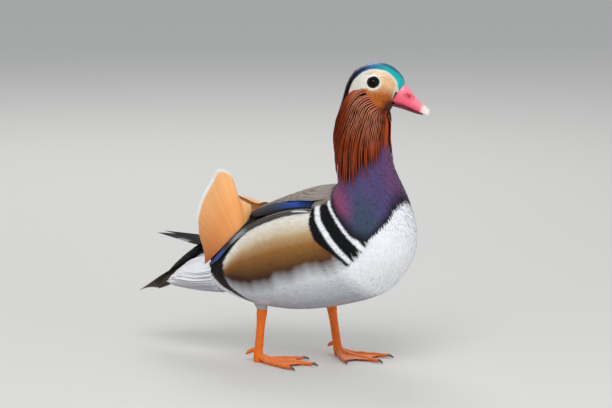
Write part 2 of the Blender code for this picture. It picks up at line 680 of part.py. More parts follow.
Fan = namedtuple("Fan", "count ring angle spread dip droop length shorter lift half_width tilt")
TAIL_ROOT = np.array([-0.103, 0.0, 0.0895])
TAIL_DIP = 28
TAIL_DROOP = 0.0048
TAIL_LENGTH = 0.077
TAIL_SHORTER = 0.027  # the outermost feather is this much shorter
TAIL_SPREAD = 5
TAIL_TILT = 50  # the outermost feather leans this far over, so that the tail is roofed
TAIL_FEATHERS = 11
TAIL_STEP = (0.0020, 0.0007)  # out and down from each feather to the next
TAIL_STEEPER = 0.0003  # further down, times the square of its place
TAIL_ROOT_HALF_WIDTH = 0.0060
STALK_RADII = (0.0115, 0.0125, 0.0120, 0.0)
STALK_REACH = (-0.004, 0.004, 0.012, 0.017)
STALK_FLATNESS = 0.4
VANES_OVER_ROOT = (0.005, 0.0030)  # the vanes start this far behind the stalk's root and above it
UPPER_COVERTS = Fan(5, 0.55, 38, 7, 31, 0.003, 0.038, 0.008, 0.0014, 0.0050, 35)
COVERT_BED = ((0.25,), (1.0,), (-48, 48), 0.0018)
UNDERTAIL_BED = ((0.25,), (1.8,), (134, 226), 0.0018)
UNDERTAIL = (
    Fan(4, 1.6, 36, 3, -3, 0.0, 0.046, 0.007, 0.0014, 0.0060, -20),
    Fan(4, 1.0, 38, 4, 4, 0.0, 0.044, 0.006, 0.0014, 0.0052, -20),
    Fan(3, 0.5, 36, 5, 15, 0.002, 0.036, 0.005, 0.0014, 0.0054, -20),
)


def fan_feather(start, fan, dip, length, half_width, droop=0.0, steps=6, tilt=0.0):
    """A feather that points back from start, turned out by fan and down by dip, and rolled over by tilt."""
    way = np.array([-math.cos(dip) * math.cos(fan), math.sin(fan), -math.sin(dip) * math.cos(fan)])
    t = np.linspace(0, 1, steps)
    path = start + np.outer(t * length, way) + np.outer(t**2 * droop, (0, 0, -1))
    up = unit(np.cross(np.cross(way, (0, 0, 1)), way))
    up = up * math.cos(tilt) + np.cross(up, way) * math.sin(tilt)
    widths = feather_widths(half_width, steps, root_share=0.8, tip_length=0.35, tip_power=0.5)
    return vane(path, np.tile(up, (steps, 1)), widths, np.full(steps, VANE_HALF_THICK))


def fan_of(fan, middle):
    """Coverts whose roots lie round the back or the belly, middle degrees from the back."""
    forms = []
    turned = 1 if middle == 0 else -1
    for side in np.linspace(-1, 1, fan.count):
        start = off_skin(fan.ring, math.radians(middle + fan.angle * side * turned), fan.lift)
        length = fan.length - fan.shorter * abs(side)
        turn, dip, tilt = np.radians((fan.spread * side, fan.dip, fan.tilt * side))
        forms.append(fan_feather(start, turn, dip, length, fan.half_width, fan.droop, 5, tilt))
    return forms


def build_tail(clearance):
    dark = material("dark_tail", "3A342C", 0.55)
    white = material("white_undertail", "DCDCE0", 0.75)
    dip = math.radians(TAIL_DIP)
    back = np.array([-math.cos(dip), 0, -math.sin(dip)])
    radii = np.array(STALK_RADII)
    forms = [tube(TAIL_ROOT + np.outer(STALK_REACH, back), radii, radii * STALK_FLATNESS, 10)]
    middle = TAIL_FEATHERS // 2
    top = TAIL_ROOT + back * VANES_OVER_ROOT[0] + (0, 0, VANES_OVER_ROOT[1])
    for k in range(-middle, middle + 1):
        side = k / middle
        start = top + (0, TAIL_STEP[0] * k, -TAIL_STEP[1] * abs(k) - TAIL_STEEPER * k * k)
        fan, tilt = math.radians(TAIL_SPREAD * side), math.radians(TAIL_TILT * side)
        length = TAIL_LENGTH - TAIL_SHORTER * abs(side)
        forms.append(fan_feather(start, fan, dip, length, TAIL_ROOT_HALF_WIDTH, TAIL_DROOP, 6, tilt))
    node("tail", forms, dark, [clearance])
    over = [bed(*COVERT_BED, 4, 5), *fan_of(UPPER_COVERTS, 0)]
    node("tail_coverts", over, dark, [clearance])
    under = [bed(*UNDERTAIL_BED, 6, 5)]
    for fan in UNDERTAIL:
        under += fan_of(fan, 180)
    node("undertail", under, white, [clearance])


# Legs and feet: a shank from heel to toe joint, and three webbed toes that lie flat, with a raised hind toe

Leg = namedtuple("Leg", "heel toe_joint thigh_top toes")
Toe = namedtuple("Toe", "heading length joints")
LEGS = {
    "right": Leg(
        (-0.0245, -0.0295, 0.0480),
        (-0.0270, -0.0320, 0.0085),
        (-0.016, -0.028, 0.064),
        {"outer": Toe(-24, 0.049, 4), "middle": Toe(6, 0.054, 3), "inner": Toe(38, 0.042, 2)},
    ),
    "left": Leg(
        (0.0175, 0.0295, 0.0480),
        (0.0228, 0.0320, 0.0085),
        (0.024, 0.028, 0.064),
        {"outer": Toe(10, 0.049, 4), "middle": Toe(-18, 0.054, 3), "inner": Toe(-52, 0.042, 2)},
    ),
}
FOOT_TOP_Z = 0.0150  # the foot ends here and the shank begins
HEEL_TOP = 0.004  # the shank ends this far above the heel, inside the thigh feathers
TOE_RADIUS = 0.0027
TOE_SINK = 0.86  # height of a toe's middle over the ground, in toe radii, so that its sole is flat
TOE_REACHES_FLOOR = 0.3
CLAW_LENGTH = 0.0065
CLAW_RADIUS = 0.0016
CLAW_RISE = 0.0004
CLAW_CURVE = 0.0022  # how far its tip bends down
FAR = 0.3  # half size of the blocks that trim the legs


def toe_path(leg, toe, share):
    """Points along a toe: down from the toe joint to the ground, then flat."""
    t = np.asarray(share, float)
    heading = math.radians(toe.heading)
    reach = toe.length * t
    low = TOE_RADIUS * TOE_SINK
    height = low + (leg.toe_joint[2] * 0.75 - low) * np.clip(1 - t / TOE_REACHES_FLOOR, 0, 1) ** 1.5
    x = leg.toe_joint[0] + reach * math.cos(heading)
    y = leg.toe_joint[1] + reach * math.sin(heading)
    return np.stack([x, y, height], -1)


KNUCKLE = 0.12  # a toe swells by this share at its joints
TOE_TAPER = (1.12, 0.80)  # thickness at the root and the end, in toe radii
TOE_BREADTH = 1.05  # over its height
TOE_END = 0.75  # the last ring is drawn in to the claw


def toe_form(leg, toe):
    t = np.linspace(0, 1, 2 * toe.joints + 1)
    knuckles = 1 + KNUCKLE * np.cos(2 * math.pi * toe.joints * t)
    radius = TOE_RADIUS * np.interp(t, (0, 1), TOE_TAPER) * knuckles
    radius[-1] *= TOE_END
    return tube(toe_path(leg, toe, t), radius * TOE_BREADTH, radius, 6)


CLAW_BREADTH = 0.8  # over its height


def claw_form(leg, toe):
    heading = math.radians(toe.heading)
    end = toe_path(leg, toe, [1.0])[0]
    t = np.linspace(0, 1, 5)
    out = np.array([math.cos(heading), math.sin(heading), 0])
    path = end + np.outer(t * CLAW_LENGTH + GAP * 1.2, out)
    path[:, 2] = end[2] + CLAW_RISE - CLAW_CURVE * t**2
    radius = CLAW_RADIUS * np.sqrt(1 - t)
    return tube(path, radius * CLAW_BREADTH, radius, 6)


WEB_HALF_THICK = 0.0006
WEB_SPAN = (0.15, 0.88)  # along the toes
WEB_HOLLOW = 0.36  # its front edge is drawn back by this share between the toes
WEB_SAG = 0.0006


def web_form(leg, first, second):
    """The web between two toes: a thin sheet with a hollow front edge."""
    columns = np.linspace(0, 1, 4)
    rings = []
    for t in np.linspace(*WEB_SPAN, 4):
        share = t * (1 - WEB_HOLLOW * np.sin(math.pi * columns) * t)
        near, far = toe_path(leg, first, share), toe_path(leg, second, share)
        row = near + (far - near) * columns[:, None]
        row[:, 2] = np.maximum(row[:, 2] - WEB_SAG * np.sin(math.pi * columns), WEB_HALF_THICK + GAP)
        up = np.array([0, 0, WEB_HALF_THICK])
        rings.append(np.concatenate([row + up, row[::-1] - up]))
    return lofted(rings)


BALL_REACH = (-0.0095, -0.0070, -0.0025, 0.0020, 0.0100)  # of its rings along the shank
BALL_WIDE = (0.0034, 0.0040, 0.0043, 0.0038, 0.0033)
BALL_DEEP = (0.0036, 0.0044, 0.0048, 0.0044, 0.0040)


def ball_of_foot(leg):
    """The toe joint and the pad under it, which is flat on the ground."""
    joint = np.array(leg.toe_joint)
    up = unit(np.array(leg.heel) - joint)
    return tube(joint + np.outer(BALL_REACH, up), BALL_WIDE, BALL_DEEP, 8)


HIND_TOE_BACK = (0.0, 0.0050, 0.0095, 0.0130)  # of its rings behind the toe joint
HIND_TOE_RISE = (0.0034, 0.0026, 0.0004, -0.0022)
HIND_TOE_RADII = (0.0025, 0.0025, 0.0022, 0.0008)


def hind_toe(leg):
    """The small raised toe behind, with its claw."""
    heading = math.radians(leg.toes["middle"].heading)
    back = np.array([-math.cos(heading), -math.sin(heading), 0])
    path = np.array(leg.toe_joint) + np.outer(HIND_TOE_BACK, back) + np.outer(HIND_TOE_RISE, (0, 0, 1))
    return tube(path, HIND_TOE_RADII, HIND_TOE_RADII, 6)


# Rings of the shank, as shares of the way from the toe joint to the heel; the first and the last are trimmed
SHANK_REACH = (-0.12, 0.1, 0.35, 0.62, 0.82, 0.95, 1.05, 1.35)
SHANK_WIDE = (0.0038, 0.0037, 0.0034, 0.0034, 0.0037, 0.0041, 0.0039, 0.0036)
SHANK_DEEP = (0.0044, 0.0044, 0.0042, 0.0042, 0.0047, 0.0054, 0.0052, 0.0046)
THIGH_FOOT = (0.001, 0.006)  # heights of the first two rings of the thigh over the heel
THIGH_REACH = (0.7, 1.0, 1.5)  # the others, as shares of the way from the heel to its top
THIGH_WIDE = (0.0050, 0.0064, 0.0110, 0.0150, 0.0150)
THIGH_DEEP = (0.0066, 0.0084, 0.0150, 0.0210, 0.0200)


def build_leg(side, clearance):
    leg = LEGS[side]
    orange = material(f"orange_leg_{side}", "F07A1E", 0.5)
    claw_grey = material(f"claw_{side}", "4A3A34", 0.4)
    thigh_grey = material(f"thigh_feathers_{side}", "A89C98", 0.8)
    heel, joint, top = (np.array(p) for p in (leg.heel, leg.toe_joint, leg.thigh_top))
    thigh_low = heel[2] + HEEL_TOP
    floor = block((-FAR, -FAR, -FAR), (FAR, FAR, 0))
    above_foot = block((-FAR, -FAR, FOOT_TOP_Z), (FAR, FAR, FAR))
    below_shank = block((-FAR, -FAR, -FAR), (FAR, FAR, FOOT_TOP_Z + GAP))
    above_shank = block((-FAR, -FAR, thigh_low), (FAR, FAR, FAR))
    below_thigh = block((-FAR, -FAR, -FAR), (FAR, FAR, thigh_low + GAP))
    shank = tube(joint + np.outer(SHANK_REACH, heel - joint), SHANK_WIDE, SHANK_DEEP, 10)
    node(f"shank_{side}", [shank], orange, [below_shank, above_shank])
    outer, middle, inner = leg.toes.values()
    forms = [ball_of_foot(leg), hind_toe(leg), web_form(leg, outer, middle), web_form(leg, middle, inner)]
    forms += [toe_form(leg, toe) for toe in leg.toes.values()]
    node(f"foot_{side}", forms, orange, [floor, above_foot])
    for name, toe in leg.toes.items():
        node(f"claw_{name}_{side}", [claw_form(leg, toe)], claw_grey, [floor])
    foot_of_thigh = heel + np.outer(THIGH_FOOT, (0, 0, 1))
    thigh_path = np.concatenate([foot_of_thigh, heel + np.outer(THIGH_REACH, top - heel)])
    thigh = tube(thigh_path, THIGH_WIDE, THIGH_DEEP, 12)
    node(f"thigh_{side}", [thigh], thigh_grey, [clearance, below_thigh])


# The finished stance


def turn_head():
    """Turns what lies above the collar about the neck's axis, more and more up to the chin."""
    for obj in bpy.context.scene.objects:
        points = np.array([v.co for v in obj.data.vertices])
        t = np.clip((points[:, 2] - TURN_STARTS_Z) / (TURN_ENDS_Z - TURN_STARTS_Z), 0, 1)
        turn = HEAD_TURN * t * t * (3 - 2 * t)
        x, y = points[:, 0] - NECK_AXIS_X, points[:, 1].copy()
        points[:, 0] = NECK_AXIS_X + x * np.cos(turn) - y * np.sin(turn)
        points[:, 1] = x * np.sin(turn) + y * np.cos(turn)
        obj.data.vertices.foreach_set("co", points.ravel())
        obj.data.update()


def centre_on_floor():
    """Moves the bird so that the middle of its box, at floor level, is the origin."""
    corners = np.array([v.co for obj in bpy.context.scene.objects for v in obj.data.vertices])
    middle = (corners.min(axis=0) + corners.max(axis=0)) / 2
    for obj in bpy.context.scene.objects:
        obj.location = (-middle[0], -middle[1], 0)


for old in list(bpy.data.objects):
    bpy.data.objects.remove(old)
CLEARANCE = skin_clearance()
build_body()
build_bill()
build_crest(CLEARANCE)
build_ruff(CLEARANCE)
build_wings(CLEARANCE)
build_tail(CLEARANCE)
for leg_side in LEGS:
    build_leg(leg_side, CLEARANCE)
turn_head()
centre_on_floor()
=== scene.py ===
import math

import bmesh
import bpy
import mathutils
import numpy as np
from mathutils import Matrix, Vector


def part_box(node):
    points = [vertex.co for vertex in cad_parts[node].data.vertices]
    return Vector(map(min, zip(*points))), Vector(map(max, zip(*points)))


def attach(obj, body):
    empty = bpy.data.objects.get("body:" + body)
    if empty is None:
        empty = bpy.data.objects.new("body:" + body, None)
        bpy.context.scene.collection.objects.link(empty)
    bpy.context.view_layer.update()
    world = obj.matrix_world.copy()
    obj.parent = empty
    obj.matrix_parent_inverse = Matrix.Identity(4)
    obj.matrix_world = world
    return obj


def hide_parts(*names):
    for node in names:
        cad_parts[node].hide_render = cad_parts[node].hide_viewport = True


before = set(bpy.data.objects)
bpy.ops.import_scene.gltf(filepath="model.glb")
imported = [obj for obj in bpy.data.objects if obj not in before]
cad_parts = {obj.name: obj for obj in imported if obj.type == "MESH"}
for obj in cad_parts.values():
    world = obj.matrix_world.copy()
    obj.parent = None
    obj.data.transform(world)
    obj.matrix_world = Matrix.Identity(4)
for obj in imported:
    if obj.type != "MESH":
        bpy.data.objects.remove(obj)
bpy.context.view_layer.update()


# Camera, floor and light. A pale plain floor, a soft sky and three large lamps; the camera stands low, at the
# bird's right and a little ahead of it, as the photo was taken.

VIEW_AZIMUTH, VIEW_HEIGHT = math.radians(28), math.radians(9)
VIEW_DISTANCE, VIEW_LENS, FILM_WIDTH, NEAREST_SEEN = 3.0, 189.75, 36.0, 0.1
LOOK_AT = np.array([0.0305, 0.0, 0.1471])
FLOOR_REACH, FLOOR_ROUGHNESS = 9.0, 0.8
SKY_STRENGTH = 0.62
LAMP_AIM = np.array((0, 0, 0.13))
LAMPS = (
    ("key", (0.5, -1.1, 1.5), 1.0, 15.0),
    ("fill", (1.4, -0.4, 0.5), 1.2, 4.0),
    ("rim", (-0.9, 1.2, 1.4), 1.0, 10.0),
)  # place, size across and power


def in_scene(name, data):
    """A new object, linked to the scene."""
    obj = bpy.data.objects.new(name, data)
    bpy.context.scene.collection.objects.link(obj)
    return obj


def linear(code):
    """Linear red, green and blue of an sRGB colour given as six hex digits."""
    channels = np.array([int(code[i : i + 2], 16) / 255 for i in (0, 2, 4)])
    return np.where(channels < 0.04045, channels / 12.92, ((channels + 0.055) / 1.055) ** 2.4)


camera = in_scene("camera", bpy.data.cameras.new("camera"))
camera.data.lens = VIEW_LENS
camera.data.sensor_width = FILM_WIDTH
camera.data.clip_start = NEAREST_SEEN
level = math.cos(VIEW_HEIGHT)
to_camera = np.array([math.sin(VIEW_AZIMUTH) * level, -math.cos(VIEW_AZIMUTH) * level, math.sin(VIEW_HEIGHT)])
camera.location = LOOK_AT + to_camera * VIEW_DISTANCE
camera.rotation_euler = (math.pi / 2 - VIEW_HEIGHT, 0, VIEW_AZIMUTH)
bpy.context.scene.camera = camera
bpy.context.scene.view_settings.view_transform = "Standard"

floor_mesh = bpy.data.meshes.new("floor")
floor_corners = [(x * FLOOR_REACH, y * FLOOR_REACH, 0) for x, y in ((-1, -1), (1, -1), (1, 1), (-1, 1))]
floor_mesh.from_pydata(floor_corners, [], [(0, 1, 2, 3)])
floor = in_scene("floor", floor_mesh)
floor_paint = bpy.data.materials.new("pale_floor")
floor_paint.use_nodes = True
floor_shader = floor_paint.node_tree.nodes["Principled BSDF"]
floor_shader.inputs["Base Color"].default_value = (*linear("D9D7D2"), 1)
floor_shader.inputs["Roughness"].default_value = FLOOR_ROUGHNESS
floor_mesh.materials.append(floor_paint)

sky = bpy.data.worlds.new("soft_sky")
sky.use_nodes = True
sky.node_tree.nodes["Background"].inputs["Color"].default_value = (*linear("E9EDF2"), 1)
sky.node_tree.nodes["Background"].inputs["Strength"].default_value = SKY_STRENGTH
bpy.context.scene.world = sky
for lamp_name, spot, across, power in LAMPS:
    light = bpy.data.lights.new(lamp_name, "AREA")
    light.size = across
    light.energy = power
    lamp = in_scene(lamp_name, light)
    lamp.location = spot
    x, y, z = LAMP_AIM - np.array(spot)
    lamp.rotation_euler = (math.pi / 2 + math.atan2(z, math.hypot(x, y)), 0, math.atan2(y, x) - math.pi / 2)


# The markings. One rule gives the colour of the plumage at each ring and angle of the skin, for the skin and
# for every small feather on it, with the edges between colours as curves over the body: violet breast, white
# and black bars, golden flank, white belly, grey-brown mantle, white brow, peach face and orange cheek.

STATIONS = {
    "vent": (-0.106, 0.093, -0.109, 0.0745, 0.013, 0.0, 1.0),
    "rump": (-0.093, 0.105, -0.0905, 0.0655, 0.029, 0.0, 0.95),
    "hips": (-0.066, 0.123, -0.062, 0.056, 0.044, 0.0, 0.9),
    "loin": (-0.035, 0.140, -0.030, 0.050, 0.054, 0.03, 0.88),
    "saddle": (0.0, 0.1545, 0.008, 0.0495, 0.060, 0.05, 0.88),
    "shoulders": (0.028, 0.163, 0.050, 0.057, 0.060, 0.05, 0.88),
    "keel": (0.041, 0.168, 0.088, 0.071, 0.056, 0.05, 0.9),
    "breast": (0.047, 0.176, 0.1108, 0.098, 0.048, 0.0, 0.95),
    "bosom": (0.0455, 0.186, 0.1160, 0.125, 0.0405, 0.0, 1.0),
    "collar": (0.0430, 0.198, 0.1095, 0.152, 0.0325, 0.0, 1.0),
    "neck": (0.0425, 0.212, 0.0960, 0.182, 0.026, 0.0, 1.0),
    "lower_throat": (0.0445, 0.226, 0.0897, 0.207, 0.0228, 0.0, 1.0),
    "throat": (0.0480, 0.2388, 0.0893, 0.225, 0.0212, 0.0, 1.0),
    "nape": (0.0510, 0.2505, 0.0885, 0.2362, 0.0204, 0.0, 1.0),
    "occiput": (0.0530, 0.2615, 0.0920, 0.2410, 0.020, 0.1, 1.0),
    "crown_back": (0.0592, 0.2740, 0.0935, 0.2432, 0.0198, 0.15, 1.0),
    "crown": (0.0722, 0.2818, 0.0940, 0.2441, 0.0188, 0.2, 1.0),
    "brow": (0.0875, 0.2820, 0.0942, 0.2447, 0.0165, 0.2, 0.95),
    "forehead": (0.0988, 0.2752, 0.0941, 0.2452, 0.0128, 0.15, 0.9),
    "bill_base": (0.1062, 0.2650, 0.0935, 0.2455, 0.0088, 0.05, 0.85),
}  # back x and z, belly x and z, half width, how far the widest place lies low, and fullness
TABLE = np.array(list(STATIONS.values()))
LAST = len(TABLE) - 1
NORMAL_STEP = 0.02  # rings and radians to each side, over which the surface's slope is taken
EYE_RING, EYE_ANGLE = 15.88, math.radians(-76)
EYE_DEPTH = 0.0035  # of the eyeball's centre under the outline
MIRROR = np.array((1, -1, 1))


def curve_through(rows, at):
    """A smooth curve through evenly numbered rows, read at row numbers and at places between them."""
    rows = np.asarray(rows, float)
    last = len(rows) - 1
    at = np.clip(np.asarray(at, float), 0, last)
    row = np.minimum(np.floor(at).astype(int), last - 1)
    part = (at - row)[..., None]
    before, here = rows[np.maximum(row - 1, 0)], rows[row]
    ahead, beyond = rows[row + 1], rows[np.minimum(row + 2, last)]
    bend = 2 * before - 5 * here + 4 * ahead - beyond
    twist = 3 * here - 3 * ahead + beyond - before
    return 0.5 * (2 * here + (ahead - before) * part + bend * part**2 + twist * part**3)


def outline(ring, angle):
    """Points of the outline at a ring and angle (radians): 0 is the back, above 0 the left side."""
    row = np.moveaxis(curve_through(TABLE, ring), -1, 0)
    back_x, back_z, belly_x, belly_z, half_width, low_wide, fullness = row
    cosine, sine = np.cos(angle), np.sin(angle)
    y = np.sign(sine) * np.abs(sine) ** fullness * half_width * (1 - low_wide * cosine)
    x = (back_x + belly_x) / 2 + (back_x - belly_x) / 2 * cosine
    z = (back_z + belly_z) / 2 + (back_z - belly_z) / 2 * cosine
    return np.stack([x, y, z], -1)


def unit(vectors):
    """Vectors brought to a length of one."""
    return vectors / np.maximum(np.linalg.norm(vectors, axis=-1, keepdims=True), 1e-12)


def outward(ring, angle):
    """Unit normals of the outline, pointing out."""
    ring = np.clip(np.asarray(ring, float), NORMAL_STEP, LAST - NORMAL_STEP)
    along = outline(ring + NORMAL_STEP, angle) - outline(ring - NORMAL_STEP, angle)
    around = outline(ring, angle + NORMAL_STEP) - outline(ring, angle - NORMAL_STEP)
    return unit(np.cross(along, around))


def stood_off(ring, angle, height):
    """Points that stand off the outline by height, or lie under it."""
    return outline(ring, angle) + outward(ring, angle) * np.asarray(height)[..., None]


eye_spot = outline(EYE_RING, EYE_ANGLE)
eye_look = outward(EYE_RING, EYE_ANGLE)

# The two belly colours after the white are painted shade, grey and pinkish-brown, for the underside in shade
WHITE, BELLY_SHADE_GREY, BELLY_SHADE_PINK = linear("F2F4F8"), linear("B6BCC6"), linear("988787")
BLACK = linear("08090C")
VIOLET, VIOLET_DARK = linear("514570"), linear("18141F")
SLATE, MAGENTA = linear("3C4A60"), linear("90486C")
MANTLE, MANTLE_DARK = linear("978A80"), linear("62564E")
CREAM, BUFF, GOLD, UMBER = linear("E8E3D8"), linear("C6AB82"), linear("9A6934"), linear("422618")
RUMP, MAROON = linear("121715"), linear("3A1018")
RUST_DARK, THROAT_RUST = linear("2A0C04"), linear("C25A26")
CROWN_GREEN, CROWN_BLUE, CROWN_MAROON = linear("04BCB8"), linear("1E609A"), linear("32101A")
PEACH, BROW_WHITE = linear("F2C999"), linear("ECE6DA")
CHEEK, CHEEK_LOW = linear("C06624"), linear("5A2008")
FLANK_TONES = ((BUFF, 0.27, 0.0, 0.28), (GOLD, 0.46, 0.06, 0.24), (UMBER, 0.76, 0.14, 0.40))
# Each with its start as a share of the flank's height, how much sooner at the rear, and how softly it starts

# Edges as degrees from the back against ring numbers, or the other way round
VIOLET_EDGE = (
    (40, 51, 74, 95, 110, 116, 127, 136, 148, 166, 180),
    (6.3, 6.36, 6.62, 6.74, 7.02, 7.39, 7.99, 8.34, 8.8, 9.05, 9.1),
)
BARS = (
    ((41, 57, 73, 90, 105, 116), (5.27, 5.40, 5.69, 5.93, 6.12, 6.22), (5.55, 5.66, 5.93, 6.13, 6.27, 6.33)),
    ((43, 61, 79, 95, 109, 116), (6.08, 6.35, 6.52, 6.64, 6.71, 6.76), (6.39, 6.56, 6.74, 6.86, 6.9, 6.9)),
)
BLACK_FROM = ((41, 60, 77, 94, 106, 116), (5.08, 5.10, 5.32, 5.81, 6.02, 6.1))
FLANK_TOP = ((2.28, 2.6, 2.98, 3.45, 4.0, 4.7, 5.2), (84, 66, 51, 43, 42, 44, 46))
FLANK_LOW = (
    (2.28, 2.8, 3.2, 3.55, 3.98, 4.42, 4.88, 5.38, 5.93),
    (112, 115, 118, 114, 108, 105, 103, 103, 104),
)
CRESCENT_FRONT = (
    (43, 51, 66, 84, 106, 124, 136, 150, 162),
    (3.45, 2.98, 2.6, 2.28, 2.27, 2.42, 2.66, 2.86, 2.98),
)
CRESCENT_BACK = (
    (43, 54, 69, 91, 111, 127, 136, 150, 162),
    (2.17, 1.74, 1.47, 1.56, 1.74, 1.98, 2.30, 2.68, 2.90),
)
CROWN_EDGE = (
    (8, 13.2, 14.1, 14.6, 15.0, 15.5, 16.0, 16.7, 17.3, 17.9, 18.3, 18.55, 19),
    (24, 32, 31, 33, 38, 37, 38, 42, 44, 50, 56, 66, 74),
)
BROW_LOW = ((13.0, 13.1, 13.8, 14.3, 14.75, 15.2), (20, 34, 50, 60, 73, 84))
RUFF_TOP = (
    (60, 74, 79, 91, 104, 124, 146, 163, 180),
    (14.1, 14.6, 14.75, 14.5, 14.3, 13.8, 13.7, 14.2, 14.3),
)
RUFF_LOW = (
    (0, 40, 57, 70, 84, 101, 126, 138, 151, 160, 168, 180),
    (8.3, 8.3, 8.1, 8.4, 8.9, 9.5, 10.0, 10.5, 10.8, 10.9, 11.1, 11.6),
)
EYE_PALE_REACH = 0.0079  # of the pale ring round the eye, from the eye's middle


def past(value, edge, width):
    """0 well before an edge, 1 well past it."""
    return np.clip((value - edge) / width + 0.5, 0, 1)


def over(base, colour, share):
    """A colour laid over a base, by a share from 0 to 1."""
    return base + (colour - base) * np.asarray(share)[..., None]


def body_plumage(ring, side):
    """Colour of the body at a ring and at side degrees from the back: painted shade low on the belly, then
    each marking laid over those before.
    """
    # Painted shade: the white belly greyer low down and pinkish-brown at the very bottom, for the shade under
    # the body
    colour = over(WHITE, BELLY_SHADE_GREY, past(side, 122, 50) * past(7.6, ring, 2.4))
    colour = over(colour, BELLY_SHADE_PINK, past(side, 158, 36) * past(5.8, ring, 3.0) * 0.65)

    flank_top, flank_low = np.interp(ring, *FLANK_TOP), np.interp(ring, *FLANK_LOW)
    down = (side - flank_top) / (flank_low - flank_top)
    rearward = past(3.4, ring, 1.8)
    flank = CREAM
    for tone, start, sooner, softness in FLANK_TONES:
        flank = over(flank, tone, past(down, start - sooner * rearward, softness))
    ragged = 1.6 * np.sin(7.3 * ring + 1.1 * np.sin(3.1 * ring)) + 0.7 * np.sin(19.9 * ring + 1)
    colour = over(colour, flank, past(flank_low + 3 + ragged, side, 19))
    mantle = over(MANTLE, MANTLE_DARK, past(side, 44, 30))
    colour = over(colour, mantle, past(flank_top, side, 3) * past(6.4, ring, 0.4))

    crescent_front = np.interp(side, *CRESCENT_FRONT)
    colour = over(colour, BLACK, past(crescent_front, ring, 0.06) * past(160, side, 6))
    maroon = past(crescent_front - 0.35, ring, 0.3) * past(side, 104, 14) * past(136, side, 6)
    colour = over(colour, MAROON, maroon)
    behind_crescent = past(np.interp(side, *CRESCENT_BACK), ring, 0.06) * past(side, 60, 5)
    colour = over(colour, WHITE * 0.92, behind_crescent)
    colour = over(colour, RUMP, past(3.0, ring, 0.5) * past(52, side, 8))

    frayed = 5 * np.sin(31 * ring) + 3 * np.sin(67 * ring + 0.2 * side)
    low_end, high_end = past(114 + frayed, side, 4), past(side, 40, 4)
    dark = past(ring, np.interp(side, *BLACK_FROM), 0.04)
    colour = over(colour, BLACK, dark * low_end * high_end * past(7.2, ring, 0.1))
    for sides, back_edge, front_edge in BARS:
        bar = past(ring, np.interp(side, sides, back_edge), 0.04)
        bar = bar * past(np.interp(side, sides, front_edge), ring, 0.04)
        colour = over(colour, WHITE, bar * high_end)
    colour = over(colour, WHITE, past(side, 114, 4) * past(ring, 5.9, 0.4))

    violet = over(VIOLET, SLATE, past(side, 82, 26) * past(126, side, 24) * past(8.6, ring, 1.2))
    violet = over(violet, MAGENTA, past(76, side, 26) * past(7.9, ring, 1.3) * 0.9)
    violet = over(violet, MAGENTA, past(side, 150, 30) * past(ring, 9.0, 1.6) * 0.35)
    scalloped = (0.06 * np.sin(1.9 * side) + 0.04 * np.sin(4.3 * side)) * past(side, 110, 20)
    violet_edge = np.interp(side, *VIOLET_EDGE) + scalloped
    violet = over(violet, VIOLET_DARK, past(violet_edge + 0.30, ring, 0.45))
    return over(colour, violet, past(ring, violet_edge, 0.05))


def head_plumage(ring, side, points):
    """Colour of the neck and head: the crown, brow, eye ring, cheek, and the dark skin under the ruff."""
    throat = past(side, 140, 10) * past(168, side, 6) * past(12.9, ring, 0.8)
    under_ruff = over(RUST_DARK, THROAT_RUST, throat * 0.4)

    cheek = over(CHEEK, CHEEK_LOW, past(side, 138, 24))
    face = over(cheek, PEACH, past(101 + 6 * (ring - 17), side, 36) * past(ring, 15.2, 1.6))
    above_cheek = side - 3 * (ring - 16)
    face = over(face, BROW_WHITE, past(76, above_cheek, 16) * past(15.9, ring, 1.2) * 0.85)
    eyes = np.stack([eye_spot, eye_spot * MIRROR])[(points[..., 1] > 0).astype(int)]
    from_eye = np.linalg.norm(points - eyes, axis=-1)
    face = over(face, BROW_WHITE, past(EYE_PALE_REACH, from_eye, 0.0020) * past(106, side, 10))
    crown_edge = np.interp(ring, *CROWN_EDGE)
    face = over(face, BROW_WHITE, past(crown_edge + 9, side, 9))
    face = over(face, BROW_WHITE, past(ring, 18.30, 0.25) * past(136, side, 14))
    behind_eye = past(15.6, ring, 0.5) * past(np.interp(ring, *BROW_LOW), side, 3) * past(ring, 13.1, 0.2)
    face = over(face, BROW_WHITE, behind_eye)
    colour = over(under_ruff, face, past(ring, np.interp(side, *RUFF_TOP), 0.12))
    colour = over(colour, BROW_WHITE, behind_eye)

    crown = over(CROWN_MAROON, CROWN_BLUE * 0.35, past(ring, 14.6, 0.8))
    crown = over(crown, CROWN_BLUE, past(ring, 15.6, 1.0))
    green_from = 20 - 16 * past(ring, 18.2, 1.0)
    crown = over(crown, CROWN_GREEN, past(ring, 16.6, 1.2) * past(side, green_from, 14))
    colour = over(colour, crown, past(crown_edge, side, 1.6))
    return over(colour, BLACK, past(ring, 18.50, 0.06) * past(side, 84, 6) * past(150, side, 10))


def plumage(ring, angle):
    """Colour at a ring and angle (radians), linear."""
    side = np.abs(np.degrees((angle + math.pi) % (2 * math.pi) - math.pi))
    to_head = past(ring, np.interp(side, *RUFF_LOW) + 0.3, 0.4)
    return over(body_plumage(ring, side), head_plumage(ring, side, outline(ring, angle)), to_head)


# The skin under the feathers: one closed surface from the vent to the bill, with soft down of the same
# markings. The neck turns the head to the bird's left.

HEAD_TURN = math.radians(14)
TURN_FROM, TURN_TO = 0.165, 0.238  # heights between which the neck takes up the turn
NECK_AXIS_X = 0.0706
COAT_RINGS = (0, 8, 12, 14, 16, 18.7, 19)
COAT_DEPTHS = (0.0008, 0.0008, 0.0008, 0.0007, 0.0006, 0.0006, 0.0014)  # from the outline in to the skin
SKIN_RINGS, SKIN_SIDES = 260, 120
VANE_PATCH = 0.003  # each feather's share of the bake map
MAP_EDGE = 0.01
SHARP_EDGE = math.radians(70)  # of a vane's rim, where its upper and lower faces meet
BARB_STRETCH = (1.6, 34.0, 60.0)  # across the vane, along it, and from one vane to the next
DOWN_SHADE = 0.9  # of the down between the feathers


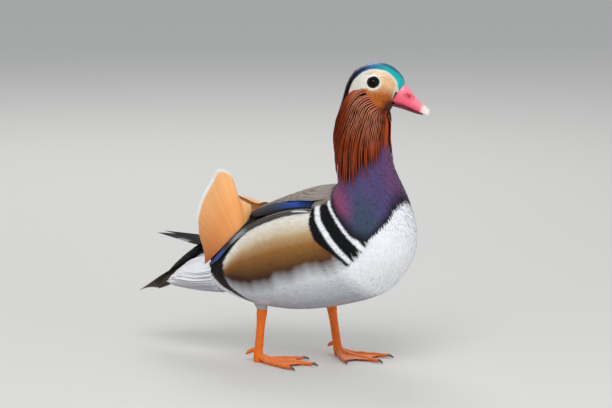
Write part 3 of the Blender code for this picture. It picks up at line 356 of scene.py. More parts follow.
def with_head_turned(points):
    """Turns what lies above the collar to the bird's left, more and more up to the chin."""
    share = np.clip((points[..., 2] - TURN_FROM) / (TURN_TO - TURN_FROM), 0, 1)
    turn = HEAD_TURN * share * share * (3 - 2 * share)
    x, y = points[..., 0] - NECK_AXIS_X, points[..., 1]
    turned_x = NECK_AXIS_X + x * np.cos(turn) - y * np.sin(turn)
    return np.stack([turned_x, x * np.sin(turn) + y * np.cos(turn), points[..., 2]], -1)


eye_middle = np.array(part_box("eye_right")).mean(axis=0)
to_frame = (eye_middle - with_head_turned(eye_spot - eye_look * EYE_DEPTH)) * (1, 1, 0)  # the floor is at 0


def posed(points):
    """From the straight bird to its place in the frame."""
    return with_head_turned(np.asarray(points)) + to_frame


def coat_depth(ring):
    """How far the skin lies under the feathers."""
    return np.interp(ring, COAT_RINGS, COAT_DEPTHS)


def unwrap(ring, angle):
    """Place of a ring and angle on the bake map: the skin cut open along the belly and laid flat."""
    around = (angle + math.pi) % (2 * math.pi) / (2 * math.pi)
    span = 1 - 2 * MAP_EDGE - VANE_PATCH
    return MAP_EDGE + span * np.stack(np.broadcast_arrays(around, np.asarray(ring) / LAST), -1)


def painted(mesh, colours):
    """Gives each point of a mesh its colour."""
    layer = mesh.color_attributes.new("plumage", "FLOAT_COLOR", "POINT")
    rgba = np.concatenate([colours, np.ones((len(colours), 1))], axis=1)
    layer.data.foreach_set("color", rgba.astype(np.float32).ravel())


def mesh_of(name, points, faces, colours, vane=None, uv=None):
    """An object from points of the straight bird, with its faces, colours, vane places and bake map."""
    points = posed(points).reshape(-1, 3)
    mesh = bpy.data.meshes.new(name)
    sizes = np.concatenate([np.full(len(group), group.shape[1]) for group in faces])
    corners = np.concatenate([group.ravel() for group in faces]).astype(np.int32)
    mesh.vertices.add(len(points))
    mesh.vertices.foreach_set("co", np.ascontiguousarray(points, np.float32).ravel())
    mesh.loops.add(len(corners))
    mesh.loops.foreach_set("vertex_index", corners)
    mesh.polygons.add(len(sizes))
    mesh.polygons.foreach_set("loop_start", np.concatenate([[0], np.cumsum(sizes)[:-1]]).astype(np.int32))
    mesh.polygons.foreach_set("loop_total", sizes.astype(np.int32))
    mesh.polygons.foreach_set("use_smooth", np.ones(len(sizes), bool))
    painted(mesh, colours.reshape(-1, 3))
    if vane is not None:
        layer = mesh.attributes.new("vane", "FLOAT_VECTOR", "POINT")
        layer.data.foreach_set("vector", vane.astype(np.float32).ravel())
    if uv is not None:
        layer = mesh.uv_layers.new(name="OFBake")
        layer.data.foreach_set("uv", uv.reshape(-1, 2)[corners].astype(np.float32).ravel())
    mesh.update(calc_edges=True)
    mesh.validate()
    mesh.set_sharp_from_angle(angle=SHARP_EDGE)
    return in_scene(name, mesh)


def full_turn(count):
    """Evenly spaced angles, all the way round."""
    return np.linspace(0, 2 * math.pi, count, endpoint=False)


def tube_grid(rings, sides, last):
    """Places from 0 to last and angles all the way round, for each point of a tube."""
    return np.meshgrid(np.linspace(0, last, rings), full_turn(sides), indexing="ij")


def tube_quads(bands, sides, total):
    """Quads of bands round a tube of total points; a band after the last ring joins the first."""
    start = np.arange(bands)[:, None] * sides + np.arange(sides)
    ahead = np.arange(bands)[:, None] * sides + (np.arange(sides) + 1) % sides
    return np.stack([start, (start + sides) % total, (ahead + sides) % total, ahead], -1).reshape(-1, 4)


def tube_faces(rings, sides):
    """Faces of a tube of rings, with its two ends closed by one face each."""
    first = np.arange(sides)[None]
    return [tube_quads(rings - 1, sides, rings * sides), first, (rings - 1) * sides + first[:, ::-1]]


def grained(name, finish, place, stretch, detail, fleck, relief, deepest):
    """A material of the painted colour, its shade and surface broken up by one fine grain.

    finish gives values of the shader's sockets, and place the kind and the output of the node that the grain
    follows, stretched and with its detail; fleck and relief are how much it shows.
    """
    made = bpy.data.materials.new(name)
    made.use_nodes = True
    nodes, links = made.node_tree.nodes, made.node_tree.links
    shader = nodes["Principled BSDF"]
    for socket, value in finish.items():
        shader.inputs[socket].default_value = value
    colour = nodes.new("ShaderNodeAttribute")
    colour.attribute_name = "plumage"
    where = nodes.new(place[0])
    if place[0] == "ShaderNodeAttribute":
        where.attribute_name = "vane"
    spread = nodes.new("ShaderNodeVectorMath")
    spread.operation = "MULTIPLY"
    spread.inputs[1].default_value = stretch
    links.new(where.outputs[place[1]], spread.inputs[0])
    grain = nodes.new("ShaderNodeTexNoise")
    grain.inputs["Scale"].default_value = 1.0
    grain.inputs["Detail"].default_value = detail
    links.new(spread.outputs["Vector"], grain.inputs["Vector"])
    shade = nodes.new("ShaderNodeMapRange")
    shade.inputs["To Min"].default_value = 1.0 - fleck
    shade.inputs["To Max"].default_value = 1.0 + fleck
    links.new(grain.outputs["Fac"], shade.inputs["Value"])
    tint = nodes.new("ShaderNodeVectorMath")
    tint.operation = "SCALE"
    links.new(colour.outputs["Color"], tint.inputs[0])
    links.new(shade.outputs["Result"], tint.inputs["Scale"])
    links.new(tint.outputs["Vector"], shader.inputs["Base Color"])
    bump = nodes.new("ShaderNodeBump")
    bump.inputs["Strength"].default_value = relief
    bump.inputs["Distance"].default_value = deepest
    links.new(grain.outputs["Fac"], bump.inputs["Height"])
    links.new(bump.outputs["Normal"], shader.inputs["Normal"])
    return made


def feather_material(name, roughness, sheen, shine, metallic=0.0, barb_depth=0.3, fleck=0.12, coat=0.0):
    """Plumage, with fine barbs that run out from each vane's shaft."""
    finish = {
        "Roughness": roughness,
        "Metallic": metallic,
        "Sheen Weight": sheen,
        "Sheen Roughness": 0.4,
        "Specular IOR Level": shine,
        "Coat Weight": coat,
    }
    on_vane = ("ShaderNodeAttribute", "Vector")
    return grained(name, finish, on_vane, BARB_STRETCH, 3.0, fleck, barb_depth, 0.0002)


def keep(obj, material, slot, *nodes):
    """Gives a piece its material, and ties it to the frame in place of nodes."""
    obj.data.materials.append(material)
    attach(obj, "root")
    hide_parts(*nodes)


rings, angles = tube_grid(SKIN_RINGS, SKIN_SIDES, LAST)
skin = mesh_of(
    "skin", stood_off(rings, angles, -coat_depth(rings)), tube_faces(SKIN_RINGS, SKIN_SIDES),
    plumage(rings, angles) * DOWN_SHADE, np.stack([angles * 4, rings * 3, 0 * rings], -1),
    unwrap(rings, angles),
)
keep(skin, feather_material("down", 0.8, 0.3, 0.2), "body_feathers", "torso", "neck", "head")


# Small body feathers, in coats that lie back along the body like overlapping tiles. Each is a thin closed
# vane, rooted in the skin, with its tip at the outline; they are smallest on the face.

LENS = ((-1, 0), (0, 1), (1, 0), (0, -0.6))  # a vane's section, across and up
SAMPLES = 160  # across a stretch of skin, for spacing the roots
PACE_STEP = 0.05  # rings and radians to each side, over which lengths on the skin are taken
LEAST_PACE = 0.006  # keeps angles sane where the ring is small
END_GAP = 0.02  # of a ring, left free at the vent and the bill
ROOT_SINK, TIP_LIFT = 0.0004, 0.00010
TIP_SETTLE = 2.2  # how soon a feather comes up to the outline
WIDEST_AT, LEAST_WIDTH = 0.55, 0.02  # of a vane
MANTLE_GAPS, BAR_GAPS, BELLY_GAPS = (0.0029, 0.0017), (0.0028, 0.0017), (0.0030, 0.0018)  # along and across
BREAST_GAPS, FACE_GAPS, CROWN_GAPS = (0.0028, 0.0016), (0.0013, 0.0008), (0.0018, 0.0010)
SMALL, FINE = (0.0110, 0.0018, 0.00008), (0.0075, 0.0012, 0.00007)  # length, half width and half thickness
FACE, CROWN = (0.0032, 0.00055, 0.00008), (0.0055, 0.00065, 0.00010)
BODY_COATS = (
    ("mantle_feathers", (2.6, 7.2), (0, 42), MANTLE_GAPS, SMALL, 4, ("torso",), 5),
    ("flank_feathers", (1.6, 5.4), (40, 116), MANTLE_GAPS, SMALL, 8, ("torso",), 5),
    ("bar_feathers", (5.0, 7.4), (38, 122), BAR_GAPS, FINE, 4, ("torso",), 9),
    ("belly_feathers", (0.4, 8.0), (114, 180), BELLY_GAPS, SMALL, 0, ("torso",), 5),
    ("rump_feathers", (0.1, 2.6), (0, 116), MANTLE_GAPS, SMALL, 2, ("torso",), 5),
    ("breast_feathers", (7.0, 11.2), (20, 180), BREAST_GAPS, FINE, 4, ("torso", "neck"), 7),
)  # rings, degrees from the back, gaps, size, how far they turn to the belly, nodes and steps
rng = np.random.default_rng(11)


def vanes(name, path, normal, half_width, half_thick, paint, root, section=LENS, camber=0.0):
    """One mesh of many closed vanes, their paths, normals and half widths given per vane and step.

    root is each vane's ring and angle, paint gives a colour for each vane, step and point of the section, and
    camber is how far the edges hang.
    """
    count, steps, _ = path.shape
    sides = len(section)
    across = unit(np.cross(normal, np.gradient(path, axis=1)))
    normal = unit(normal)
    reach, rise = (np.array(v, float)[None, None, :, None] for v in zip(*section))
    wide = half_width[..., None, None]
    ring = path[:, :, None] + across[:, :, None] * wide * reach
    ring = ring + normal[:, :, None] * (half_thick * rise - camber * wide * reach**2)
    points = np.concatenate([ring[:, :-1].reshape(count, -1, 3), path[:, -1:]], axis=1)
    each = points.shape[1]
    first = np.arange(count)[:, None, None] * each
    step = np.arange(steps - 2)[None, :, None] * sides
    here = np.arange(sides)[None, None]
    ahead = (here + 1) % sides
    start = first + step
    quads = np.stack([start + here, start + ahead, start + sides + ahead, start + sides + here], -1)
    last = first + (steps - 2) * sides
    tips = np.stack([last + here, last + ahead, first + each - 1 + 0 * here], -1)
    roots = first[:, 0] + np.arange(sides)[None, ::-1]
    paint = np.broadcast_to(paint, (count, steps, sides, 3))
    colours = np.concatenate([paint[:, :-1].reshape(count, -1, 3), paint[:, -1:].mean(axis=2)], axis=1)
    place = np.empty((count, steps, sides, 3))
    place[..., 0] = reach[..., 0]
    place[..., 1] = np.linspace(0, 1, steps)[None, :, None]
    place[..., 2] = rng.random(count)[:, None, None]
    place = np.concatenate([place[:, :-1].reshape(count, -1, 3), place[:, -1:, 0]], axis=1)
    uv = unwrap(*root)[:, None] + VANE_PATCH * (place[..., :2] * (0.5, 1) + (0.5, 0))
    return mesh_of(name, points, [quads.reshape(-1, 4), tips.reshape(-1, 3), roots], colours, place, uv)


def paces(ring, angle):
    """Lengths on the outline that go with one ring and with one radian."""
    over_rings = outline(ring + PACE_STEP, angle) - outline(ring - PACE_STEP, angle)
    over_turn = outline(ring, angle + PACE_STEP) - outline(ring, angle - PACE_STEP)
    return (np.linalg.norm(way, axis=-1) / (2 * PACE_STEP) for way in (over_rings, over_turn))


def scattered(rings, sides, gap_along, gap_across):
    """Rings and angles of feather roots, spread evenly over a stretch of skin, in rows that don't show."""
    found_ring, found_angle = [], []
    turn, sample = np.radians(np.linspace(*sides, SAMPLES)), np.arange(SAMPLES)
    ring = rings[0]
    while ring < rings[1]:
        pace, _ = paces(ring, turn)
        step = gap_along / pace.max()
        parts = np.linalg.norm(np.diff(outline(ring, turn), axis=0), axis=-1)
        length = np.concatenate([[0], np.cumsum(parts)])
        count = max(int(length[-1] / gap_across), 2)
        even = (np.arange(count) + rng.uniform(0.1, 0.9, count)) / count * length[-1]
        spots = np.interp(even, length, sample)
        wanted = rng.random(count) < np.interp(spots, sample, pace) * step / gap_along
        found_angle.append(np.interp(spots, sample, turn)[wanted])
        found_ring.append(ring + rng.uniform(-0.5, 0.5, wanted.sum()) * step)
        ring += step
    return np.clip(np.concatenate(found_ring), END_GAP, LAST - END_GAP), np.concatenate(found_angle)


def vane_widths(steps, root_share=0.7, tip_length=0.45, tip_power=0.6):
    """Half widths along a vane, as shares of its widest: drawn in at the root and rounded off to the tip."""
    along = np.linspace(0, 1, steps)
    shape = root_share + (1 - root_share) * np.sin(math.pi / 2 * np.minimum(along / WIDEST_AT, 1))
    return shape * np.maximum(np.clip((1 - along) / tip_length, 0, 1) ** tip_power, LEAST_WIDTH)


def small_coat(
    name, rings, sides, gaps, size, lie, material, slot, nodes, steps=5, ruffle=0.00006, vary=0.05
):
    """A coat of small feathers over one stretch of the body and its mirror image.

    sides are degrees from the back, lie the degrees that the feathers turn towards the belly, ruffle how
    unevenly they lie and vary how unlike their shades are.
    """
    ring, angle = scattered(rings, sides, *gaps)
    other_ring, other_angle = scattered(rings, sides, *gaps)
    ring, angle = np.concatenate([ring, other_ring]), np.concatenate([angle, -other_angle])
    count = len(ring)
    length = size[0] * rng.uniform(0.8, 1.2, count)
    lie = np.radians(lie + rng.normal(0, 5, count)) * np.sign(angle)
    pace_ring, pace_turn = paces(ring, angle)
    pace_turn = np.maximum(pace_turn, LEAST_PACE)
    along = np.linspace(0, 1, steps)
    rings_at = np.clip(ring[:, None] - (length * np.cos(lie) / pace_ring)[:, None] * along, 0, LAST)
    angles_at = angle[:, None] + (length * np.sin(lie) / pace_turn)[:, None] * along
    depth = coat_depth(ring)[:, None] + ROOT_SINK
    tip_height = TIP_LIFT + ruffle * rng.standard_normal((count, 1))
    height = -depth + (depth + tip_height) * (1 - (1 - along) ** TIP_SETTLE)
    widths = vane_widths(steps) * size[1] * rng.uniform(0.85, 1.15, (count, 1))
    reach = np.array([x for x, _ in LENS])
    own_angle = angles_at[..., None] - reach * widths[..., None] / pace_turn[:, None, None]
    paint = plumage(rings_at[..., None], own_angle) * rng.uniform(1 - vary, 1 + vary, (count, 1, 1, 1))
    path, normal = stood_off(rings_at, angles_at, height), outward(rings_at, angles_at)
    keep(vanes(name, path, normal, widths, size[2], paint, (ring, angle)), material, slot, *nodes)


body_feather = feather_material("body_feather", 0.7, 0.08, 0.15)
for name, ring_span, sides, gaps, size, lie, nodes, steps in BODY_COATS:
    small_coat(name, ring_span, sides, gaps, size, lie, body_feather, "body_feathers", nodes, steps)
face_feather = feather_material("face_feather", 0.7, 0.15, 0.2)
small_coat(
    "face_feathers", (13.0, 18.97), (28, 180), FACE_GAPS, FACE, 2, face_feather, "face_feathers", ("head",),
    steps=4, ruffle=0.00005, vary=0.04,
)
crown_feather = feather_material("crown_feather", 0.35, 0.1, 0.5, 0.3, 0.2, 0.1, 0.2)
small_coat(
    "crown_feathers", (13.4, 18.99), (0, 64), CROWN_GAPS, CROWN, 0, crown_feather, "crest_feathers",
    ("crest",),
)


# Crest. Long narrow plumes from the crown down the back of the neck: coppery maroon over teal ends, in tiers
# that hang free of the nape.

HACKLE = ((-1, 0), (-0.62, 0.35), (-0.25, 0.9), (0, 1), (0.25, 0.9), (0.62, 0.35), (1, 0), (0, -0.6))
CREST_TIERS, CREST_ACROSS, CREST_STEPS = 9, 11, 12
CREST_PLUME = (0.0013, 0.00030, 0.8, 0.35)  # half width, half thickness, share at the root, length of the tip
CREST_COLOURS = [CROWN_BLUE * 0.30, CROWN_MAROON * 1.2, linear("3C1512"), linear("2C1A1E"), linear("0F4644")]
CREST_STOPS = (0, 0.25, 0.55, 0.85, 1)  # of the colours, from root to tip
# A measure of two numbers is its value in the lowest tier, and how much more it is in the top one
CREST_ROOT_RING, CREST_TIP_RING, CREST_ROOT_SIDE, CREST_TIP_SIDE = (13.6, 2.4), (8.4, 1.8), (23, 3), 15
CREST_MIDDLE_LIFT, CREST_TIP_LIFT = (0.0018, 0.0022), (0.0016, 0.0028)
CREST_HANG = 1.1


def combed(root, tip, lifts, steps, sweep=1.0, hang=1.0):
    """Paths, normals, rings and angles of feathers laid over the skin, from root to tip (ring and degrees).

    lifts are heights at the root, half way and at the tip; sweep above 1 turns them early, hang above 1
    brings them down late.
    """
    along = np.linspace(0, 1, steps)
    (root_ring, root_side), (tip_ring, tip_side) = root, tip
    rings = root_ring[:, None] + (tip_ring - root_ring)[:, None] * along**hang
    angles = np.radians(root_side[:, None] + (tip_side - root_side)[:, None] * (1 - (1 - along) ** sweep))
    low, middle, high = (np.broadcast_to(lift, root_ring.shape)[:, None] for lift in lifts)
    height = low * (1 - along) ** 2 + 2 * middle * along * (1 - along) + high * along**2
    return stood_off(rings, angles, height), outward(rings, angles), rings, angles


def tones(section, shaft, vane, edge, edge_span=(0.6, 1.0)):
    """Colours across a vane, from its shaft over the vane to its edge."""
    reach = np.abs([x for x, _ in section])
    to_shaft = np.interp(reach, (0.0, 0.25), (1, 0))[:, None]
    to_edge = np.interp(reach, edge_span, (0, 1))[:, None]
    shaft, vane, edge = (colour[..., None, :] for colour in (shaft, vane, edge))
    return vane + (shaft - vane) * to_shaft + (edge - vane) * to_edge


def mixed(stops, colours, value):
    """Colours read along a line of stops."""
    return np.stack([np.interp(value, stops, channel) for channel in np.transpose(colours)], -1)


def tiers(count, across, jitter=(0.35, 0.35)):
    """Places (tier, across), each from 0 to 1, in offset rows with some scatter."""
    tier, place = np.meshgrid(np.arange(count), np.arange(across), indexing="ij")
    place = (place + 0.5 * (tier % 2) + 0.25 + rng.uniform(-jitter[1], jitter[1], place.shape)) / across
    tier = (tier + rng.uniform(-jitter[0], jitter[0], tier.shape)) / max(count - 1, 1)
    return np.clip(tier.ravel(), 0, 1), np.clip(place.ravel(), 0, 1)


def grown(pair, share):
    """A measure that begins at the pair's first number and grows by its second."""
    return pair[0] + pair[1] * share


def laid(name, path, normal, cut, paint, root, look, section=HACKLE, camber=0.0):
    """Feathers of one cut; look is their material, slot and node."""
    half_width, half_thick, *shape = cut
    widths = vane_widths(path.shape[1], *shape) * np.broadcast_to(half_width, len(path))[:, None]
    keep(vanes(name, path, normal, widths, half_thick, paint, root, section, camber), *look)


tier, place = tiers(CREST_TIERS, CREST_ACROSS)
across = (place - 0.5) * 2
root = (grown(CREST_ROOT_RING, tier), across * grown(CREST_ROOT_SIDE, tier))
tip_ring = grown(CREST_TIP_RING, tier) - 0.5 * (1 - across**2) + rng.uniform(-0.3, 0.3, tier.size)
tip = (tip_ring, across * CREST_TIP_SIDE)
lifts = (0.0, grown(CREST_MIDDLE_LIFT, tier), grown(CREST_TIP_LIFT, tier))
path, normal, rings, angles = combed(root, tip, lifts, CREST_STEPS, hang=CREST_HANG)
tone = mixed(CREST_STOPS, CREST_COLOURS, np.linspace(0, 1, CREST_STEPS))
tone = tone * rng.uniform(0.8, 1.25, (tier.size, 1, 1))
laid(
    "crest_plumes", path, normal, CREST_PLUME, tones(HACKLE, tone * 1.3, tone, tone * 0.5),
    (rings[:, 0], angles[:, 0]), (crown_feather, "crest_feathers", "crest"),
)


# Ruff. Pointed hackles that spread from behind and under the cheek and hang over the side of the neck in many
# tiers: rust orange with near-black edges, their shafts pale in the middle of the fan.

RUFF_ROOT_RINGS = (
    (10.0, 10.6, 11.0, 11.3, 11.6, 11.8, 12.0),
    (11.3, 11.9, 12.3, 12.5, 12.6, 12.6, 12.5),
    (12.4, 13.1, 13.7, 13.6, 13.3, 13.1, 13.0),
    (13.3, 14.35, 14.85, 14.5, 14.0, 13.75, 13.6),
)
RUFF_ROOT_SIDES = ((32, 150), (38, 156), (42, 160), (40, 164))
RUFF_TIP_RINGS = (
    (8.0, 7.8, 7.95, 8.7, 9.4, 9.95, 10.6),
    (8.9, 8.7, 8.9, 9.6, 10.1, 10.5, 11.0),
    (10.1, 9.9, 10.0, 10.6, 11.0, 11.3, 11.6),
    (11.3, 11.2, 11.3, 11.7, 12.0, 12.2, 12.3),
)
RUFF_TIP_SIDES = (
    (20, 40, 62, 84, 107, 129, 151),
    (19, 37, 58, 81, 105, 128, 151),
    (18, 34, 54, 78, 104, 128, 152),
    (22, 36, 54, 77, 103, 129, 153),
)
THROAT_LOCKS = (
    (13.3, 13.2, 13.0, 12.9, 12.8),
    (154, 158, 162, 166, 169),
    (11.0, 10.8, 10.6, 10.7, 11.0),
    (154, 158, 161, 164, 167),
)  # rings and degrees from the back of their roots, and of their tips
LOCK_TIER = 0.2  # in which these locks lie
RUFF_TIERS, RUFF_ACROSS, RUFF_STEPS = 6, 26, 14
RUFF_MIDDLE_LIFT, RUFF_TIP_LIFT = (0.0026, 0.0016), (0.0016, 0.0034)
RUFF_SWEEP, RUFF_HANG = 1.9, 1.3
HACKLE_BREADTH = (1.15, -0.35)
HACKLE_WIDTH, HACKLE_CUT = 0.00135, (0.00045, 0.5, 0.6, 0.85)  # the last is how blunt the tip is
RUST, RUST_DEEP, RUST_EDGE = linear("B8480E"), linear("762404"), linear("0E0201")
PALE_SHAFT, TIP_PINK = linear("D8A98C"), linear("B4584A")
hackle_finish = feather_material("hackle", 0.55, 0.02, 0.15, barb_depth=0.15, fleck=0.15)


def planed(table, tier, place):
    """A value of a plan of feathers: its rows from the lowest tier to the top, its columns evenly placed."""
    rows = np.array([np.interp(place, np.linspace(0, 1, len(row)), row) for row in table])
    at = tier * (len(table) - 1)
    low = np.minimum(at.astype(int), len(table) - 2)
    item = np.arange(len(at))
    return rows[low, item] + (rows[low + 1, item] - rows[low, item]) * (at - low)


for side, side_name in ((-1, "right"), (1, "left")):
    tier, place = tiers(RUFF_TIERS, RUFF_ACROSS, (0.3, 0.2))
    plans = (RUFF_ROOT_RINGS, RUFF_ROOT_SIDES, RUFF_TIP_RINGS, RUFF_TIP_SIDES)
    fan = [planed(plan, tier, place) for plan in plans]
    fan[2] = fan[2] + rng.uniform(-0.25, 0.25, tier.size)
    fan[3] = fan[3] + rng.normal(0, 1.0, tier.size)
    root_ring, root_side, tip_ring, tip_side = np.concatenate([fan, THROAT_LOCKS], axis=1)
    locks = len(THROAT_LOCKS[0])
    tier = np.concatenate([tier, np.full(locks, LOCK_TIER)])
    place = np.concatenate([place, np.ones(locks)])
    share = np.interp(place, (0, 0.5, 1), (1.0, 1.0, 0.7))
    lifts = (0.0, grown(RUFF_MIDDLE_LIFT, tier), grown(RUFF_TIP_LIFT, tier) * share)
    root, tip = (root_ring, root_side * side), (tip_ring, tip_side * side)
    path, normal, rings, angles = combed(root, tip, lifts, RUFF_STEPS, RUFF_SWEEP, RUFF_HANG)
    sides_at, along = np.abs(np.degrees(angles)), np.linspace(0, 1, RUFF_STEPS)
    rust = over(RUST, RUST_DEEP, past(11.0 - rings, 0, 5) * 0.4)
    rust = over(rust, RUST_DEEP, past(50, sides_at, 30) * 0.6)
    rust = over(rust, RUST_DEEP, past(sides_at, 132, 20) * past(152, sides_at, 6) * 0.6)
    rust = over(rust, TIP_PINK, past(along, 0.92, 0.25) * past(9.6, rings, 1.2))
    rust = rust * rng.uniform(0.8, 1.2, (tier.size, 1, 1))
    pale = past(rings, 11.2, 1.6) * past(sides_at, 60, 20) * past(136, sides_at, 24)
    dark_edge = over(rust, RUST_EDGE, 0.93 * past(along, 0.16, 0.24) * past(156, sides_at, 6))
    rust_tones = (over(rust * 1.15, PALE_SHAFT, pale * 0.9), over(rust, PALE_SHAFT, pale * 0.2), dark_edge)
    laid(
        f"ruff_hackles_{side_name}", path, normal, (HACKLE_WIDTH * grown(HACKLE_BREADTH, tier), *HACKLE_CUT),
        tones(HACKLE, *rust_tones, (0.30, 0.66)), (rings[:, 0], angles[:, 0]),
        (hackle_finish, "ruff_feathers", f"ruff_{side_name}"),
    )


# Folded wings. Grey-brown shoulder feathers over blue tertials with black ends, the thin edges of the
# secondaries below them, and long dark primaries with silver ends over the rump.

PLATE = ((-1, 0), (-0.55, 0.5), (-0.1, 0.55), (0, 1), (0.1, 0.55), (0.55, 0.5), (1, 0), (0, -0.5))
STIFF = (PLATE, 0.1)  # section with a raised shaft, and camber
WING_STEPS = 14
SCAPULAR_TIERS, SCAPULAR_ACROSS = 9, 9
SCAPULAR_ROOT_RING, SCAPULAR_TIP_RING = (4.25, 1.75), (2.95, 1.6)
SCAPULAR_MIDDLE_LIFT, SCAPULAR_TIP_LIFT = (0.0022, 0.0006), (0.0036, 0.0012)
SCAPULAR_LOW_ROOTS = ((0, 0.3, 1), (21, 24, 34))  # degrees from the back of the lowest ones, by tier
SCAPULAR_LOW_TIPS = ((0, 0.3, 1), (14, 20, 31))
LEAN = math.tan(math.radians(4))  # of each feather over its neighbour
SCAPULAR_CUT, SECONDARY_CUT = (0.0034, 0.00022, 0.6, 0.45, 0.6), (0.0021, 0.0003, 0.7, 0.3, 0.6)
PRIMARY_CUT = (0.0034, 0.0003, 0.35, 0.5, 0.7)
TERTIALS = (
    (5.2, 5.15, 5.1, 5.1, 5.15),
    (28.5, 32.5, 36.5, 40.5, 46.5),
    (2.66, 2.72, 2.86, 3.05, 4.4),
    (15, 20, 25.5, 31, 42.8),
)  # rings and degrees from the back of their roots, and of their tips
TERTIAL_WIDTHS = (0.0050, 0.0050, 0.0046, 0.0036, 0.0010)  # the last one is a thin silver edge
TERTIAL_CUT = (TERTIAL_WIDTHS, 0.0004, 0.6, 0.18, 0.5)
TERTIAL_LIFTS = (0.0008, (0.0048, 0.0044, 0.0040, 0.0034, 0.0036), 0.0030)
TERTIAL_STOPS = (2.6, 3.5, 3.75, 4.4, 5.2)  # rings of the colours
WING_EDGE = ((5.2, 50), (4.7, 46), (4.0, 44), (3.4, 45), (2.9, 49), (2.5, 60), (2.1, 75), (1.7, 87))
SECONDARIES, PRIMARIES = 9, 8
SECONDARY_ROOTS, SECONDARY_LENGTH = (0.1, 3.8), 3.2  # places along the wing's edge
SECONDARY_SHIFT = (-4, 2)  # degrees off that edge, for the first and the last one
PRIMARY_RINGS = (3.7, -2.9)
PRIMARY_ROOT_LIFT, PRIMARY_LIFT = 0.0010, (0.0052, -0.0042)
PRIMARY_ROOT_SIDE, PRIMARY_TURN = (8, 13.5), (1, 4.5)
PRIMARY_TIPS = (
    (-0.1515, -0.0060, 0.1088),
    (-0.1430, -0.0080, 0.1078),
    (-0.1300, -0.0104, 0.1060),
    (-0.1190, -0.0126, 0.1044),
)
STEPS_ON_BACK, STEPS_BEHIND = 9, 6  # of a primary, over the back and behind it
TERTIAL_BLUE, TERTIAL_DEEP, GLOSS_BLACK = linear("1443A0"), linear("061C40"), linear("07080B")
SILVER, SECONDARY_BROWN, PRIMARY_DARK = linear("D5DDE4"), linear("40362E"), linear("0B0A0A")
wing_finish = feather_material("flight_feather", 0.45, 0.05, 0.4)
blue_finish = feather_material("blue_feather", 0.5, 0.0, 0.18, 0.05, 0.2, 0.2)
scapular_finish = feather_material("speckled_feather", 0.65, 0.15, 0.25, barb_depth=0.35, fleck=0.40)


def leaned(path, normal, side):
    """Normals leaned over like tiles."""
    return normal + np.cross(normal, unit(np.gradient(path, axis=1))) * LEAN * side


